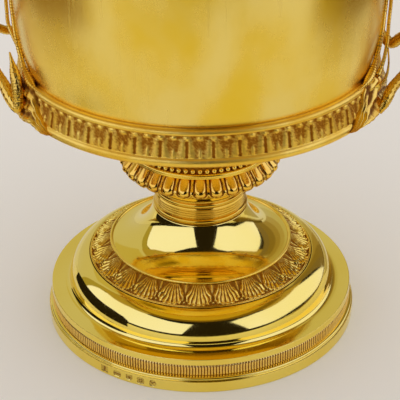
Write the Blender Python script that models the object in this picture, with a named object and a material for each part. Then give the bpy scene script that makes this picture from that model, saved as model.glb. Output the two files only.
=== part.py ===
"""Two-handled silver-gilt cup with a lift-off cover, standing on a stepped round foot.

Metres, +Z up, origin at the middle of the foot's underside. The handles stand on the X axis.
Every round piece is a turned outline; repeated ornament is worked out from its count.
"""

import math

import bmesh
import bpy
from mathutils import Matrix, Vector

for old in list(bpy.data.objects):
    bpy.data.objects.remove(old)

MM = 0.001
MERGE = 0.01 * MM              # points closer than this are one point
ON_RING = 0.01                 # a point this near a ring of the outline belongs to it, mm
GAP = 0.3                      # clearance between pieces that touch, mm
WALL = 1.6                     # gauge of the raised sheet, mm
ROUND_STEPS = 28               # facets round every large turned piece
SMALL_STEPS = 16               # facets round the stem and the finial

# Foot, mm
FOOT_RADIUS = 75.0
RIM_HEIGHT = 5.4               # plain upright rim that stands on the table
RIM_WIDTH = 3.0                # flat ring under the rim
THREAD_TOP = 7.4               # small thread above the rim
REED_TOP = 13.3                # top of the upright reeded band
REED_RADIUS = 73.4
REED_DEPTH = 0.9
LEDGE_RADIUS = 73.1            # outer edge of the flat ledge above the reeds
LEDGE_HEIGHT = 16.6
CREASE_RADIUS = 64.2           # where the ledge meets the big round moulding
OVOLO_CENTRE = (51.1, 17.8)    # ellipse of the big round moulding: radius, height
OVOLO_SIZE = (12.9, 14.1)
FOOT_BAND_OUTER = (53.6, 31.4) # leaf band, outer wire: radius, height
FOOT_BAND_INNER = (43.3, 38.0) # leaf band, inner wire
FOOT_BAND_DEPTH = 1.1
FOOT_LEAVES = 24
DOME_CENTRE = (44.8, 63.9)     # ellipse that the hollow-curved dome follows, outside it
DOME_SIZE = (23.4, 25.9)
DOME_SPAN = (197.6, 263.0)     # from the dome's top to the leaf band, degrees
NECK_RADIUS = 22.5             # top of the dome
NECK_HEIGHT = 56.0

# Stem, mm
COLLAR_WAIST = 21.4
COLLAR_TOP = 74.6
COLLAR_TOP_RADIUS = 28.0
KNOP_CENTRE = (29.2, 80.4)
KNOP_SIZE = (7.4, 7.2)
KNOP_OPENING = 60.0            # where the knop's section starts under the plain ring, degrees
KNOP_UNDERCUT = -48.0          # how far it turns under, degrees
KNOP_LOBES = 30
LOBE_DEPTH = 1.5
PLATE_RADIUS = 34.2            # plain ring above the knop, and the beads on it
BEAD_RING_TOP = 92.0

# Bowl, mm
BOWL_NECK_RADIUS = 31.0
BOWL_BOTTOM = 104.4            # lowest point of the bowl's round underside
UNDERSIDE_RADIUS = 76.0
UNDERSIDE_TOP = 119.9
UNDERSIDE_CURVE = 1.55         # power of the underside's rise, 1 for a straight cone
WALL_RADIUS = 78.2             # body just above the leaf band
WALL_FOOT = 132.8
WALL_FLARE = 0.054             # outward lean of the body, per unit of height
LIP_START = 226.0
LIP_RADIUS = 89.0
LIP_TOP = 237.5
BAND_TOP = 134.4               # leaf band round the bowl
BAND_TOP_RADIUS = 81.2
BAND_BOTTOM = 120.0
BAND_BOTTOM_RADIUS = 84.0
BAND_UNITS = 48
BAND_CROWN = 0.35              # how far each leaf stands out in its middle

# Cover, mm
COVER_RADIUS = 90.0
BEZEL_RADIUS = 81.0
BEZEL_DEPTH = 6.5
COVER_OVOLO_CENTRE = (60.0, 243.2)
COVER_OVOLO_SIZE = (24.5, 14.4)
COVER_WIRE_RADIUS = 64.0
COVER_TOP = 291.0
COVER_TOP_RADIUS = 9.5
FINIAL_TOP = 340.0
BUD_CENTRE = 312.0             # lobed bud of the finial
BUD_SIZE = (13.5, 15.0)
BUD_LOBES = 8
BUD_GROOVE = 0.9               # depth of the grooves between its lobes

# Handles, mm: the right one, seen from the front. A strand is points (x, y, z, thickness).
ARM_FRONT = [
    (84.3, -22.6, 118.3, 5.0), (86.3, -20.8, 123.0, 5.6), (89.3, -17.8, 128.3, 5.6),
    (95.5, -13.0, 134.5, 5.6), (103.5, -7.8, 141.0, 5.6), (111.0, -3.4, 147.0, 5.6),
]
ARM_BACK = [
    (83.2, 18.5, 143.5, 0.9), (82.5, 20.5, 136.0, 3.2), (82.4, 22.4, 128.0, 4.8),
    (82.5, 23.4, 121.2, 5.4), (84.8, 22.8, 116.8, 5.4), (87.3, 20.2, 121.6, 5.6),
    (89.3, 17.8, 128.3, 5.6), (95.5, 13.0, 134.5, 5.6), (103.5, 7.8, 141.0, 5.6),
    (111.0, 3.4, 147.0, 5.6),
]
SHAFT = [
    (111.5, 148.0), (117.5, 160.0), (120.0, 175.0), (118.5, 191.0), (112.5, 206.0),
    (103.5, 218.0), (93.5, 225.5),
]
SHAFT_TURNS = 2.5
SHAFT_SPREAD = 2.6             # from the shaft's centre line to each strand's
STRAND_THICKNESS = 5.6
HEAD_END = (85.5, 3.6, 229.0)
TENDRIL_THICKNESS = 1.9
TENDRIL_SPREAD = 1.7
TENDRIL_STANDOFF = 3.0         # from the wall to the middle of the pair
TENDRIL_PITCH = 68.0           # height of one whole turn of the twin tendrils
TENDRIL_FOOT = 123.0
TENDRIL_ANGLE = -14.0          # degrees round the cup from the handle to the tendrils' foot
TENDRIL_TOP = 222.0
LEAF_SWEEP = 36.0              # degrees that the foot leaf runs along the band each way
LEAF_THICKNESS = 6.0
HANDLE_VOXEL = 0.5             # grain at which the strands are melted into one casting
HANDLE_THINNING = 0.0072       # share of the melted triangles that the solid keeps


def gilt(name, colour, roughness):
    """Gilt silver: a metal of the given colour."""
    material = bpy.data.materials.new(name)
    material.use_nodes = True
    shader = material.node_tree.nodes["Principled BSDF"]
    shader.inputs["Base Color"].default_value = (*colour, 1.0)
    shader.inputs["Metallic"].default_value = 1.0
    shader.inputs["Roughness"].default_value = roughness
    return material


def add_object(name, mesh, material):
    """Puts a mesh in the scene as one named piece, shaded smooth except at real edges."""
    obj = bpy.data.objects.new(name, mesh)
    bpy.context.scene.collection.objects.link(obj)
    mesh.materials.append(material)
    mesh.shade_smooth()
    mesh.set_sharp_from_angle(angle=math.radians(40))
    return obj


def ellipse(centre, size, start, end, count):
    """Points of an elliptical arc, angles in degrees from the outward direction."""
    angles = [math.radians(start + (end - start) * i / count) for i in range(count + 1)]
    return [(centre[0] + size[0] * math.cos(a), centre[1] + size[1] * math.sin(a)) for a in angles]


def trumpet(top, foot, count):
    """A hollow quarter curve: upright at the top point and level at the foot point."""
    angles = [math.radians(90.0 * i / count) for i in range(count + 1)]
    return [
        (foot[0] - (foot[0] - top[0]) * math.cos(a), top[1] - (top[1] - foot[1]) * math.sin(a))
        for a in angles
    ]


def turn_mesh(name, outline, steps):
    """Spins an outline of (radius, height) in mm round Z.

    An open outline starts and ends on the axis; a ring's outline closes on itself.
    """
    on_axis = outline[0][0] == 0.0
    bm = bmesh.new()
    verts = [bm.verts.new((r * MM, 0.0, z * MM)) for r, z in outline]
    pairs = list(zip(verts, verts[1:]))
    if not on_axis:
        pairs.append((verts[-1], verts[0]))
    edges = [bm.edges.new(pair) for pair in pairs]
    bmesh.ops.spin(bm, geom=verts + edges, cent=(0, 0, 0), axis=(0, 0, 1),
                   angle=math.tau, steps=steps, use_duplicate=False)
    bmesh.ops.remove_doubles(bm, verts=bm.verts[:], dist=MERGE)
    bmesh.ops.recalc_face_normals(bm, faces=bm.faces[:])
    mesh = bpy.data.meshes.new(name)
    bm.to_mesh(mesh)
    bm.free()
    return mesh


def turned(name, outline, steps, material):
    return add_object(name, turn_mesh(name, outline, steps), material)


def reshape(mesh, rule):
    """Moves each vertex by a rule of its radius, angle and height, all lengths in mm."""
    for vertex in mesh.vertices:
        radius = math.hypot(vertex.co.x, vertex.co.y) / MM
        angle = math.atan2(vertex.co.y, vertex.co.x)
        radius, height = rule(radius, angle, vertex.co.z / MM)
        vertex.co = (radius * MM * math.cos(angle), radius * MM * math.sin(angle), height * MM)


def wall_radius(height):
    """Outside radius of the bowl's body at a height between the band and the lip."""
    return WALL_RADIUS + WALL_FLARE * (height - WALL_FOOT)


def build_foot(material):
    """Raised foot: dome, seat of the leaf band, big round moulding, ledge and rim, open below."""
    seat_out = (FOOT_BAND_OUTER[0], FOOT_BAND_OUTER[1] - FOOT_BAND_DEPTH)
    seat_in = (FOOT_BAND_INNER[0], FOOT_BAND_INNER[1] - FOOT_BAND_DEPTH)
    outer = [(0.0, NECK_HEIGHT)]
    outer += ellipse(DOME_CENTRE, DOME_SIZE, *DOME_SPAN, 4)
    outer += [seat_in, seat_out]
    outer += ellipse(OVOLO_CENTRE, OVOLO_SIZE, 76.0, -4.0, 5)
    outer += [
        (LEDGE_RADIUS, LEDGE_HEIGHT),
        (REED_RADIUS, REED_TOP + 0.5),
        (REED_RADIUS - REED_DEPTH, REED_TOP + 0.5),
        (REED_RADIUS - REED_DEPTH, THREAD_TOP - 0.3),
        (FOOT_RADIUS - 0.8, THREAD_TOP - 0.4),
        (FOOT_RADIUS, RIM_HEIGHT),
        (FOOT_RADIUS, 0.0),
    ]
    inner = [
        (FOOT_RADIUS - RIM_WIDTH, 0.0),
        (FOOT_RADIUS - RIM_WIDTH, RIM_HEIGHT),
        (LEDGE_RADIUS - WALL, LEDGE_HEIGHT - WALL),
        (CREASE_RADIUS - WALL, LEDGE_HEIGHT - WALL),
    ]
    inner_size = (OVOLO_SIZE[0] - WALL, OVOLO_SIZE[1] - WALL)
    inner += ellipse(OVOLO_CENTRE, inner_size, 8.0, 70.0, 3)
    inner += [(seat_in[0] - 1.0, seat_in[1] - WALL)]
    dome_inside = (DOME_SIZE[0] + WALL, DOME_SIZE[1] + WALL)
    inner += ellipse(DOME_CENTRE, dome_inside, DOME_SPAN[1] - 6.0, DOME_SPAN[0] + 2.6, 3)
    inner += [(0.0, NECK_HEIGHT - WALL)]
    return turned("foot", outer + inner, ROUND_STEPS, material)


def build_reeded_band(material):
    """Strip of fine upright reeds let into the foot's edge."""
    inner = REED_RADIUS - REED_DEPTH + GAP
    outline = [
        (inner, REED_TOP + 0.2),
        (REED_RADIUS, REED_TOP + 0.2),
        (REED_RADIUS, THREAD_TOP + 0.1),
        (inner, THREAD_TOP + 0.1),
    ]
    return turned("foot_reeded_band", outline, ROUND_STEPS, material)


def build_foot_leaf_band(material):
    """Band of leaves between two wires on the slope under the dome."""
    slope = Vector(FOOT_BAND_INNER) - Vector(FOOT_BAND_OUTER)
    rise = Vector((-slope.y, slope.x)).normalized() * -1.0
    seat = FOOT_BAND_DEPTH - GAP

    def place(along, lift):
        point = Vector(FOOT_BAND_OUTER) + slope * along + rise * lift
        return (point.x, point.y)

    outline = [
        place(0.94, -seat), place(0.94, 0.3), place(0.5, 0.0), place(0.14, 0.0),
        place(0.06, 0.4), place(0.02, -seat),
    ]
    mesh = turn_mesh("foot_leaf_band", outline, FOOT_LEAVES * 2)
    middle = place(0.5, 0.0)
    tip = place(0.14, 0.0)

    def leaf(radius, angle, height):
        crown = math.cos(FOOT_LEAVES * (angle + math.pi / 2.0))
        for point, lift in ((middle, 0.55), (tip, 0.35)):
            if abs(radius - point[0]) < ON_RING and abs(height - point[1]) < ON_RING:
                return radius + rise.x * lift * crown, height + rise.y * lift * crown
        return radius, height

    reshape(mesh, leaf)
    return add_object("foot_leaf_band", mesh, material)


def build_collar(material):
    """Stem collar: base ring, a stack of threads and a flare that carries the knop."""
    base = NECK_HEIGHT + GAP
    outline = [
        (0.0, COLLAR_TOP), (COLLAR_TOP_RADIUS, COLLAR_TOP), (COLLAR_TOP_RADIUS, COLLAR_TOP - 1.0),
        (COLLAR_WAIST + 2.6, COLLAR_TOP - 3.4), (COLLAR_WAIST + 0.4, COLLAR_TOP - 6.2),
        (COLLAR_WAIST, base + 4.0), (NECK_RADIUS - 0.6, base + 2.8), (NECK_RADIUS, base + 1.4),
        (NECK_RADIUS - 0.3, base), (0.0, base),
    ]
    return turned("stem_collar", outline, SMALL_STEPS + 4, material)


def build_knop(material):
    """Flattened knop with gadroons all round."""
    section = ellipse(KNOP_CENTRE, KNOP_SIZE, KNOP_OPENING, KNOP_UNDERCUT, 5)
    outline = [(0.0, section[0][1])] + section + [(0.0, section[-1][1])]
    mesh = turn_mesh("knop", outline, KNOP_LOBES * 2)
    start = KNOP_CENTRE[0] - KNOP_SIZE[0] * 0.2

    def lobes(radius, angle, height):
        if radius < start:
            return radius, height
        groove = 0.5 - 0.5 * math.cos(KNOP_LOBES * (angle + math.pi / 2.0))
        return radius - LOBE_DEPTH * groove, height

    reshape(mesh, lobes)
    return add_object("knop", mesh, material)


def build_bead_ring(material):
    """Plain ring on the knop with a row of beads on its shoulder."""
    bottom = KNOP_CENTRE[1] + KNOP_SIZE[1] * math.sin(math.radians(KNOP_OPENING)) + GAP
    outline = [
        (0.0, BEAD_RING_TOP), (PLATE_RADIUS - 3.0, BEAD_RING_TOP),
        (PLATE_RADIUS - 0.6, BEAD_RING_TOP - 1.2), (PLATE_RADIUS, BEAD_RING_TOP - 3.0),
        (PLATE_RADIUS - 0.2, bottom), (0.0, bottom),
    ]
    return turned("knop_bead_ring", outline, ROUND_STEPS, material)


def build_bowl(material):
    """Raised bowl: flared lip, plain body, shallow round underside on a short hollow neck."""
    neck_foot = BEAD_RING_TOP + GAP
    lip_wall = wall_radius(LIP_START)
    outer = [
        (LIP_RADIUS - 0.8, LIP_TOP), (LIP_RADIUS, LIP_TOP - 1.2), (LIP_RADIUS - 2.2, LIP_TOP - 3.6),
        (lip_wall + 1.2, LIP_START + 4.4), (lip_wall, LIP_START), (WALL_RADIUS, WALL_FOOT),
        (WALL_RADIUS, UNDERSIDE_TOP + 1.4),
    ]
    spread = UNDERSIDE_RADIUS - BOWL_NECK_RADIUS
    rise = UNDERSIDE_TOP - BOWL_BOTTOM
    bends = [1.0, 0.75, 0.5, 0.25, 0.0]
    outer += [
        (BOWL_NECK_RADIUS + spread * b, BOWL_BOTTOM + rise * b ** UNDERSIDE_CURVE) for b in bends
    ]
    outer += [
        (BOWL_NECK_RADIUS - 2.4, BOWL_BOTTOM - 3.6), (BOWL_NECK_RADIUS - 2.4, neck_foot + 3.6),
        (BOWL_NECK_RADIUS, neck_foot),
    ]
    inner = [
        (BOWL_NECK_RADIUS - 4.0, neck_foot), (BOWL_NECK_RADIUS - 4.4, BOWL_BOTTOM - 1.0),
        (0.0, BOWL_BOTTOM - 1.0), (0.0, BOWL_BOTTOM - 1.0 + WALL),
        (BOWL_NECK_RADIUS - 3.0, BOWL_BOTTOM - 0.6 + WALL),
    ]
    rising = [0.3, 0.65, 0.97]
    inner += [
        (BOWL_NECK_RADIUS - 1.0 + spread * b, BOWL_BOTTOM + WALL + rise * b ** UNDERSIDE_CURVE)
        for b in rising
    ]
    inner += [
        (WALL_RADIUS - WALL, UNDERSIDE_TOP + 4.5), (lip_wall - WALL, LIP_START),
        (lip_wall - WALL + 0.9, LIP_START + 4.4), (LIP_RADIUS - 2.8, LIP_TOP),
    ]
    outline = outer + inner
    start = outline.index((0.0, BOWL_BOTTOM - 1.0 + WALL))
    outline = outline[start:] + outline[:start]
    return turned("bowl", outline, ROUND_STEPS, material)


def build_bowl_leaf_band(material):
    """Band of upright leaves round the bowl, with a wire above and a plain moulding below."""
    inner = WALL_RADIUS + GAP
    face_top = (BAND_TOP_RADIUS, BAND_TOP - 0.6)
    face_bottom = (BAND_BOTTOM_RADIUS - 1.1, BAND_BOTTOM + 5.0)
    outline = [
        (inner, BAND_TOP), face_top, face_bottom, (BAND_BOTTOM_RADIUS, BAND_BOTTOM + 1.6),
        (inner, BAND_BOTTOM),
    ]
    mesh = turn_mesh("bowl_leaf_band", outline, BAND_UNITS * 2)

    def leaves(radius, angle, height):
        crown = math.cos(BAND_UNITS * (angle + math.pi / 2.0))
        if abs(height - face_top[1]) < ON_RING or abs(height - face_bottom[1]) < ON_RING:
            return radius + BAND_CROWN * crown, height
        return radius, height

    reshape(mesh, leaves)
    return add_object("bowl_leaf_band", mesh, material)


def build_cover(material):
    """Lift-off cover: moulded edge, big round moulding, hollow-curved dome, bezel inside the lip."""
    seat = LIP_TOP + GAP
    dome_foot = COVER_OVOLO_CENTRE[1] + COVER_OVOLO_SIZE[1] * 0.985
    outer = [(0.0, COVER_TOP)]
    outer += trumpet((COVER_TOP_RADIUS, COVER_TOP), (COVER_WIRE_RADIUS - 1.6, dome_foot), 6)
    outer += ellipse(COVER_OVOLO_CENTRE, COVER_OVOLO_SIZE, 80.0, 0.0, 4)
    outer += [
        (COVER_RADIUS - 1.4, COVER_OVOLO_CENTRE[1] - 0.6), (COVER_RADIUS, COVER_OVOLO_CENTRE[1] - 2.0),
        (COVER_RADIUS, seat + 1.2), (COVER_RADIUS - 1.2, seat),
    ]
    inner = [
        (BEZEL_RADIUS, seat), (BEZEL_RADIUS, seat - BEZEL_DEPTH),
        (BEZEL_RADIUS - WALL, seat - BEZEL_DEPTH), (BEZEL_RADIUS - WALL, seat + 2.4),
    ]
    inner_size = (COVER_OVOLO_SIZE[0] - WALL, COVER_OVOLO_SIZE[1] - WALL)
    inner += ellipse(COVER_OVOLO_CENTRE, inner_size, 4.0, 76.0, 3)
    inner += trumpet((COVER_TOP_RADIUS - WALL, COVER_TOP - WALL),
                     (COVER_WIRE_RADIUS - 6.0, dome_foot - WALL), 3)[::-1]
    inner += [(0.0, COVER_TOP - WALL)]
    return turned("cover", outer + inner, ROUND_STEPS, material)


def build_finial(material):
    """Cast finial: foot ring, neck, lobed bud and a small ball on top."""
    foot = COVER_TOP + GAP
    outline = [(0.0, FINIAL_TOP)]
    outline += ellipse((0.0, FINIAL_TOP - 4.0), (4.0, 4.0), 60.0, -60.0, 4)
    outline += [(2.6, BUD_CENTRE + BUD_SIZE[1] + 1.4)]
    outline += ellipse((0.0, BUD_CENTRE), BUD_SIZE, 68.0, -66.0, 6)
    outline += [
        (3.6, foot + 4.4), (5.0, foot + 3.0), (9.0, foot + 2.2), (9.4, foot + 0.8), (9.0, foot),
        (0.0, foot),
    ]
    mesh = turn_mesh("cover_finial", outline, SMALL_STEPS)

    def lobes(radius, angle, height):
        reach = 1.0 - ((height - BUD_CENTRE) / BUD_SIZE[1]) ** 2
        if reach < 0.1 or radius < 5.5:
            return radius, height
        return radius - BUD_GROOVE * (0.5 - 0.5 * math.cos(BUD_LOBES * angle)), height

    reshape(mesh, lobes)
    return add_object("cover_finial", mesh, material)


def smooth_path(points, count):
    """Points on a smooth curve through the given ones (Catmull-Rom), ends included."""
    rows = [Vector(p) for p in points]
    rows = [rows[0] * 2.0 - rows[1]] + rows + [rows[-1] * 2.0 - rows[-2]]
    path = []
    for i in range(1, len(rows) - 2):
        for k in range(count):
            t = k / count
            a, b, c, d = rows[i - 1:i + 3]
            path.append(0.5 * (2.0 * b + (c - a) * t + (2.0 * a - 5.0 * b + 4.0 * c - d) * t ** 2
                               + (3.0 * b - a - 3.0 * c + d) * t ** 3))
    path.append(rows[-2])
    return path


def tube_mesh(name, path, sides):
    """Closed tube along a path of (x, y, z, thickness) in mm."""
    bm = bmesh.new()
    rings = []
    normal = Vector((0.0, 1.0, 0.0))
    for i, point in enumerate(path):
        before = path[max(i - 1, 0)].xyz
        after = path[min(i + 1, len(path) - 1)].xyz
        tangent = (after - before).normalized()
        normal = (normal - tangent * normal.dot(tangent)).normalized()
        side = tangent.cross(normal)
        ring = []
        for k in range(sides):
            angle = math.tau * k / sides
            reach = (normal * math.cos(angle) + side * math.sin(angle)) * point.w / 2.0
            ring.append(bm.verts.new((point.xyz + reach) * MM))
        rings.append(ring)
    for lower, upper in zip(rings, rings[1:]):
        for k in range(sides):
            n = (k + 1) % sides
            bm.faces.new((lower[k], lower[n], upper[n], upper[k]))
    bm.faces.new(rings[0][::-1])
    bm.faces.new(rings[-1])
    bmesh.ops.recalc_face_normals(bm, faces=bm.faces[:])
    mesh = bpy.data.meshes.new(name)
    bm.to_mesh(mesh)
    bm.free()
    return mesh


def shaft_strand(arm, phase):
    """One of the two strands of the shaft, wound round its centre line after its arm."""
    centre = smooth_path([(x, 0.0, z, 0.0) for x, z in SHAFT], 5)
    last = len(centre) - 1
    strand = smooth_path(arm, 2)[:-1]
    for i, point in enumerate(centre):
        along = i / last
        before = centre[max(i - 1, 0)].xyz
        after = centre[min(i + 1, last)].xyz
        tangent = (after - before).normalized()
        across = tangent.cross(Vector((0.0, 1.0, 0.0)))
        angle = phase + math.tau * SHAFT_TURNS * along
        offset = (Vector((0.0, 1.0, 0.0)) * math.cos(angle) + across * math.sin(angle)) * SHAFT_SPREAD
        place = point.xyz + offset
        strand.append(Vector((*place, STRAND_THICKNESS)))
    end = math.copysign(HEAD_END[1], strand[-1].y)
    strand.append(Vector((HEAD_END[0], end, HEAD_END[2], STRAND_THICKNESS * 1.1)))
    return strand


def tendril(phase):
    """One of the twin tendrils that climb the wall from the front arm's foot to the lip."""
    path = []
    count = 16
    for i in range(count + 1):
        along = i / count
        height = TENDRIL_FOOT + (TENDRIL_TOP - TENDRIL_FOOT) * along
        angle = math.radians(TENDRIL_ANGLE * (1.0 - along) ** 4)
        twist = phase + math.tau * (height - TENDRIL_FOOT) / TENDRIL_PITCH
        radius = wall_radius(height) + TENDRIL_STANDOFF + 5.6 * (1.0 - along) ** 8
        radius += TENDRIL_SPREAD * math.cos(twist) * 0.6
        sway = TENDRIL_SPREAD * math.sin(twist)
        path.append(Vector((radius * math.cos(angle) - sway * math.sin(angle),
                            radius * math.sin(angle) + sway * math.cos(angle),
                            height, TENDRIL_THICKNESS)))
    return path


def foot_leaf():
    """Long leaf that lies along the band's lower edge, thickest under the two arms."""
    path = []
    count = 18
    for i in range(count + 1):
        angle = math.radians(LEAF_SWEEP * (2.0 * i / count - 1.0))
        share = abs(2.0 * i / count - 1.0)
        thickness = LEAF_THICKNESS * (1.0 - share ** 3) + 1.0
        radius = BAND_BOTTOM_RADIUS + 0.8
        path.append(Vector((radius * math.cos(angle), radius * math.sin(angle),
                            BAND_BOTTOM + 2.0, thickness)))
    return path


def seat_outline():
    """Outside of the bowl and its band, grown by the clearance: what a handle is filed to fit."""
    grow = GAP + 0.1
    return [
        (0.0, LIP_TOP + 4.0), (LIP_RADIUS + grow, LIP_TOP + 4.0), (LIP_RADIUS + grow, LIP_TOP - 2.4),
        (LIP_RADIUS - 2.2 + grow, LIP_TOP - 4.2), (wall_radius(LIP_START) + 1.6 + grow, LIP_START + 4.0),
        (wall_radius(LIP_START) + grow, LIP_START - 0.4), (WALL_RADIUS + grow, BAND_TOP + grow),
        (BAND_TOP_RADIUS + 0.4 + grow, BAND_TOP + grow), (BAND_TOP_RADIUS + 0.4 + grow, BAND_TOP - 2.0),
        (BAND_BOTTOM_RADIUS + 0.4 + grow, BAND_BOTTOM + 4.0),
        (BAND_BOTTOM_RADIUS + 0.4 + grow, BAND_BOTTOM + 0.4),
        (WALL_RADIUS + 2.5, BAND_BOTTOM - 0.6 - grow), (UNDERSIDE_RADIUS - 10.0, BOWL_BOTTOM),
        (0.0, BOWL_BOTTOM),
    ]


def cast_handle_mesh(material):
    """Cast handle: two arms from the band join in a twisted shaft that bends in under the lip."""
    meshes = [
        tube_mesh("arm_front", shaft_strand(ARM_FRONT, math.pi), 6),
        tube_mesh("arm_back", shaft_strand(ARM_BACK, 0.0), 6),
        tube_mesh("foot_leaf", foot_leaf(), 6),
        tube_mesh("tendril_a", tendril(0.0), 4),
        tube_mesh("tendril_b", tendril(math.pi), 4),
    ]
    bm = bmesh.new()
    for mesh in meshes:
        bm.from_mesh(mesh)
        bpy.data.meshes.remove(mesh)
    strands = bpy.data.meshes.new("handle_strands")
    bm.to_mesh(strands)
    bm.free()
    casting = add_object("handle_casting", strands, material)
    seat = turned("handle_seat", seat_outline(), ROUND_STEPS, material)
    melt = casting.modifiers.new("melt", "REMESH")
    melt.mode = "VOXEL"
    melt.voxel_size = HANDLE_VOXEL * MM
    thin = casting.modifiers.new("thin", "DECIMATE")
    thin.ratio = HANDLE_THINNING
    fit = casting.modifiers.new("fit", "BOOLEAN")
    fit.operation = "DIFFERENCE"
    fit.object = seat
    bpy.context.view_layer.update()
    joined = casting.evaluated_get(bpy.context.evaluated_depsgraph_get())
    mesh = bpy.data.meshes.new_from_object(joined)
    bpy.data.objects.remove(casting)
    bpy.data.objects.remove(seat)
    return mesh


def build_handles(material):
    """The two handles are one pattern, cast twice and turned half round."""
    right = add_object("handle_right", cast_handle_mesh(material), material)
    left = add_object("handle_left", right.data.copy(), material)
    left.data.transform(Matrix.Rotation(math.pi, 4, "Z"))


polished = gilt("polished_gilt", (0.95, 0.75, 0.18), 0.08)
chased = gilt("chased_gilt", (0.86, 0.62, 0.18), 0.25)

build_foot(polished)
build_reeded_band(chased)
build_foot_leaf_band(chased)
build_collar(polished)
build_knop(polished)
build_bead_ring(polished)
build_bowl(polished)
build_bowl_leaf_band(chased)
build_handles(chased)
build_cover(polished)
build_finial(polished)
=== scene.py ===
import math

import bmesh
import bpy
import numpy as np
from mathutils import Matrix, Vector


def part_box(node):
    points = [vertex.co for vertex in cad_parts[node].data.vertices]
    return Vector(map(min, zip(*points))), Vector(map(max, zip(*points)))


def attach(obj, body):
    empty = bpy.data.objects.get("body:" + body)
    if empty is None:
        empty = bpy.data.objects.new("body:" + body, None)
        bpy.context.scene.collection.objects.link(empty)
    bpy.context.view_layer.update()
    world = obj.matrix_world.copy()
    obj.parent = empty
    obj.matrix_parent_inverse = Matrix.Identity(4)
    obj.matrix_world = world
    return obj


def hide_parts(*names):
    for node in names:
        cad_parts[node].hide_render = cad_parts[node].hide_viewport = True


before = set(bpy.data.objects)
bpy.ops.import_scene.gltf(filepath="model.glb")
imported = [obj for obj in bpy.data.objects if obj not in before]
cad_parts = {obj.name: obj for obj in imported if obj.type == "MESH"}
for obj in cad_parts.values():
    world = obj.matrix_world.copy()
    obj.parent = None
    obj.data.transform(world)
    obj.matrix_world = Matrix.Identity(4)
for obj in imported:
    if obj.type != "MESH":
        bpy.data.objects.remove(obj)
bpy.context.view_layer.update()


# ---------------------------------------------------------------- raised foot
# The foot is raised from one sheet of silver: upright rim, flat ledge, big round moulding and a
# hollow-curved dome that carries the stem. It is gilt and burnished. Five sunk marks are struck
# on the rim, each a plain shape with a simple device.

MM = 0.001


def node_radius(node):
    """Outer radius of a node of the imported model, in mm."""
    return round(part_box(node)[1][0] / MM, 1)


def node_bottom(node):
    """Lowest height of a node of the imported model, in mm."""
    return round(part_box(node)[0][2] / MM, 1)


def arc(centre, size, start, end, count):
    """Points (radius, height) of an elliptical arc in mm, angles in degrees from straight out."""
    turn = np.radians(np.linspace(start, end, count + 1))
    return [(centre[0] + size[0] * math.cos(a), centre[1] + size[1] * math.sin(a)) for a in turn]


def eased(outline, ease=0.22):
    """Breaks every real corner of a closed outline with a small round, as file and polish do."""
    nearly_straight = -0.96
    points = [np.array(p, float) for p in outline]
    soft = []
    for i, point in enumerate(points):
        back = points[i - 1] - point
        ahead = points[(i + 1) % len(points)] - point
        back_length, ahead_length = np.linalg.norm(back), np.linalg.norm(ahead)
        back, ahead = back / back_length, ahead / ahead_length
        if point[0] == 0.0 or back @ ahead < nearly_straight:
            soft.append(point)
            continue
        reach = min(ease, 0.4 * back_length, 0.4 * ahead_length)
        start, end = point + back * reach, point + ahead * reach
        if back_length > 5.0 * reach:
            soft.append(point + back * reach * 2.0)
        for t in (0.0, 0.33, 0.67, 1.0):
            soft.append(start * (1 - t) ** 2 + point * 2 * t * (1 - t) + end * t ** 2)
        if ahead_length > 5.0 * reach:
            soft.append(point + ahead * reach * 2.0)
    return np.array(soft)


def even_turn(steps):
    """Angles round the cup, starting at the front."""
    return (np.arange(steps) / steps - 0.25) * math.tau


def metal_mesh(name, points, faces, hollow):
    """Mesh of one piece; hollow, from 0 to 1, says how deep each point lies in a hollow and how far
    its colour turns to brown tone and painted shade.
    """
    mesh = bpy.data.meshes.new(name)
    mesh.from_pydata(points.tolist(), [], faces)
    depth = mesh.attributes.new("hollow", "FLOAT", "POINT")
    depth.data.foreach_set("value", np.clip(hollow, 0.0, 1.0).astype(np.float32).ravel())
    mesh.shade_smooth()
    return mesh


def ring_mesh(name, turn, radii, heights, hollow=None):
    """Closed ring of metal: row i of radii and heights, mm, is its section at angle turn[i]."""
    steps, count = radii.shape
    x = radii * np.cos(turn)[:, None]
    y = radii * np.sin(turn)[:, None]
    points = np.stack([x, y, heights], -1).reshape(-1, 3) * MM
    i = np.arange(steps)[:, None] * count
    j = np.arange(count)[None, :]
    after = (i + count) % (steps * count)
    beside = (j + 1) % count
    faces = np.stack([i + j, i + beside, after + beside, after + j], -1).reshape(-1, 4)
    if hollow is None:
        hollow = np.zeros(radii.shape)
    mesh = metal_mesh(name, points, faces.tolist(), hollow)
    if radii.min() == 0.0:
        bm = bmesh.new()
        bm.from_mesh(mesh)
        bmesh.ops.remove_doubles(bm, verts=bm.verts[:], dist=0.000001)
        bm.to_mesh(mesh)
        bm.free()
    return mesh


def new_piece(name, mesh, material):
    """One visible piece of the cup, with its finish."""
    piece = bpy.data.objects.new(name, mesh)
    bpy.context.scene.collection.objects.link(piece)
    mesh.materials.append(material)
    return piece


def new_group(name, inputs, outputs):
    """Empty node group with named values; returns it with its input and output nodes."""
    group = bpy.data.node_groups.new(name, "ShaderNodeTree")
    for label, start in inputs:
        socket = group.interface.new_socket(label, in_out="INPUT", socket_type="NodeSocketFloat")
        socket.default_value = start
    for label in outputs:
        group.interface.new_socket(label, in_out="OUTPUT", socket_type="NodeSocketFloat")
    return group, group.nodes.new("NodeGroupInput"), group.nodes.new("NodeGroupOutput")


def add_node(tree, kind, settings=None, **values):
    """Adds a node, sets its choices, and fills inputs with numbers or wires.

    An input is given by its label, or as i0, i1 and so on by its place where labels repeat.
    """
    node = tree.nodes.new("ShaderNode" + kind)
    for key, value in (settings or {}).items():
        setattr(node, key, value)
    for key, value in values.items():
        key = int(key[1:]) if key[0] == "i" and key[1:].isdigit() else key.replace("_", " ")
        if isinstance(value, bpy.types.NodeSocket):
            tree.links.new(value, node.inputs[key])
        else:
            node.inputs[key].default_value = value
    return node


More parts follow.
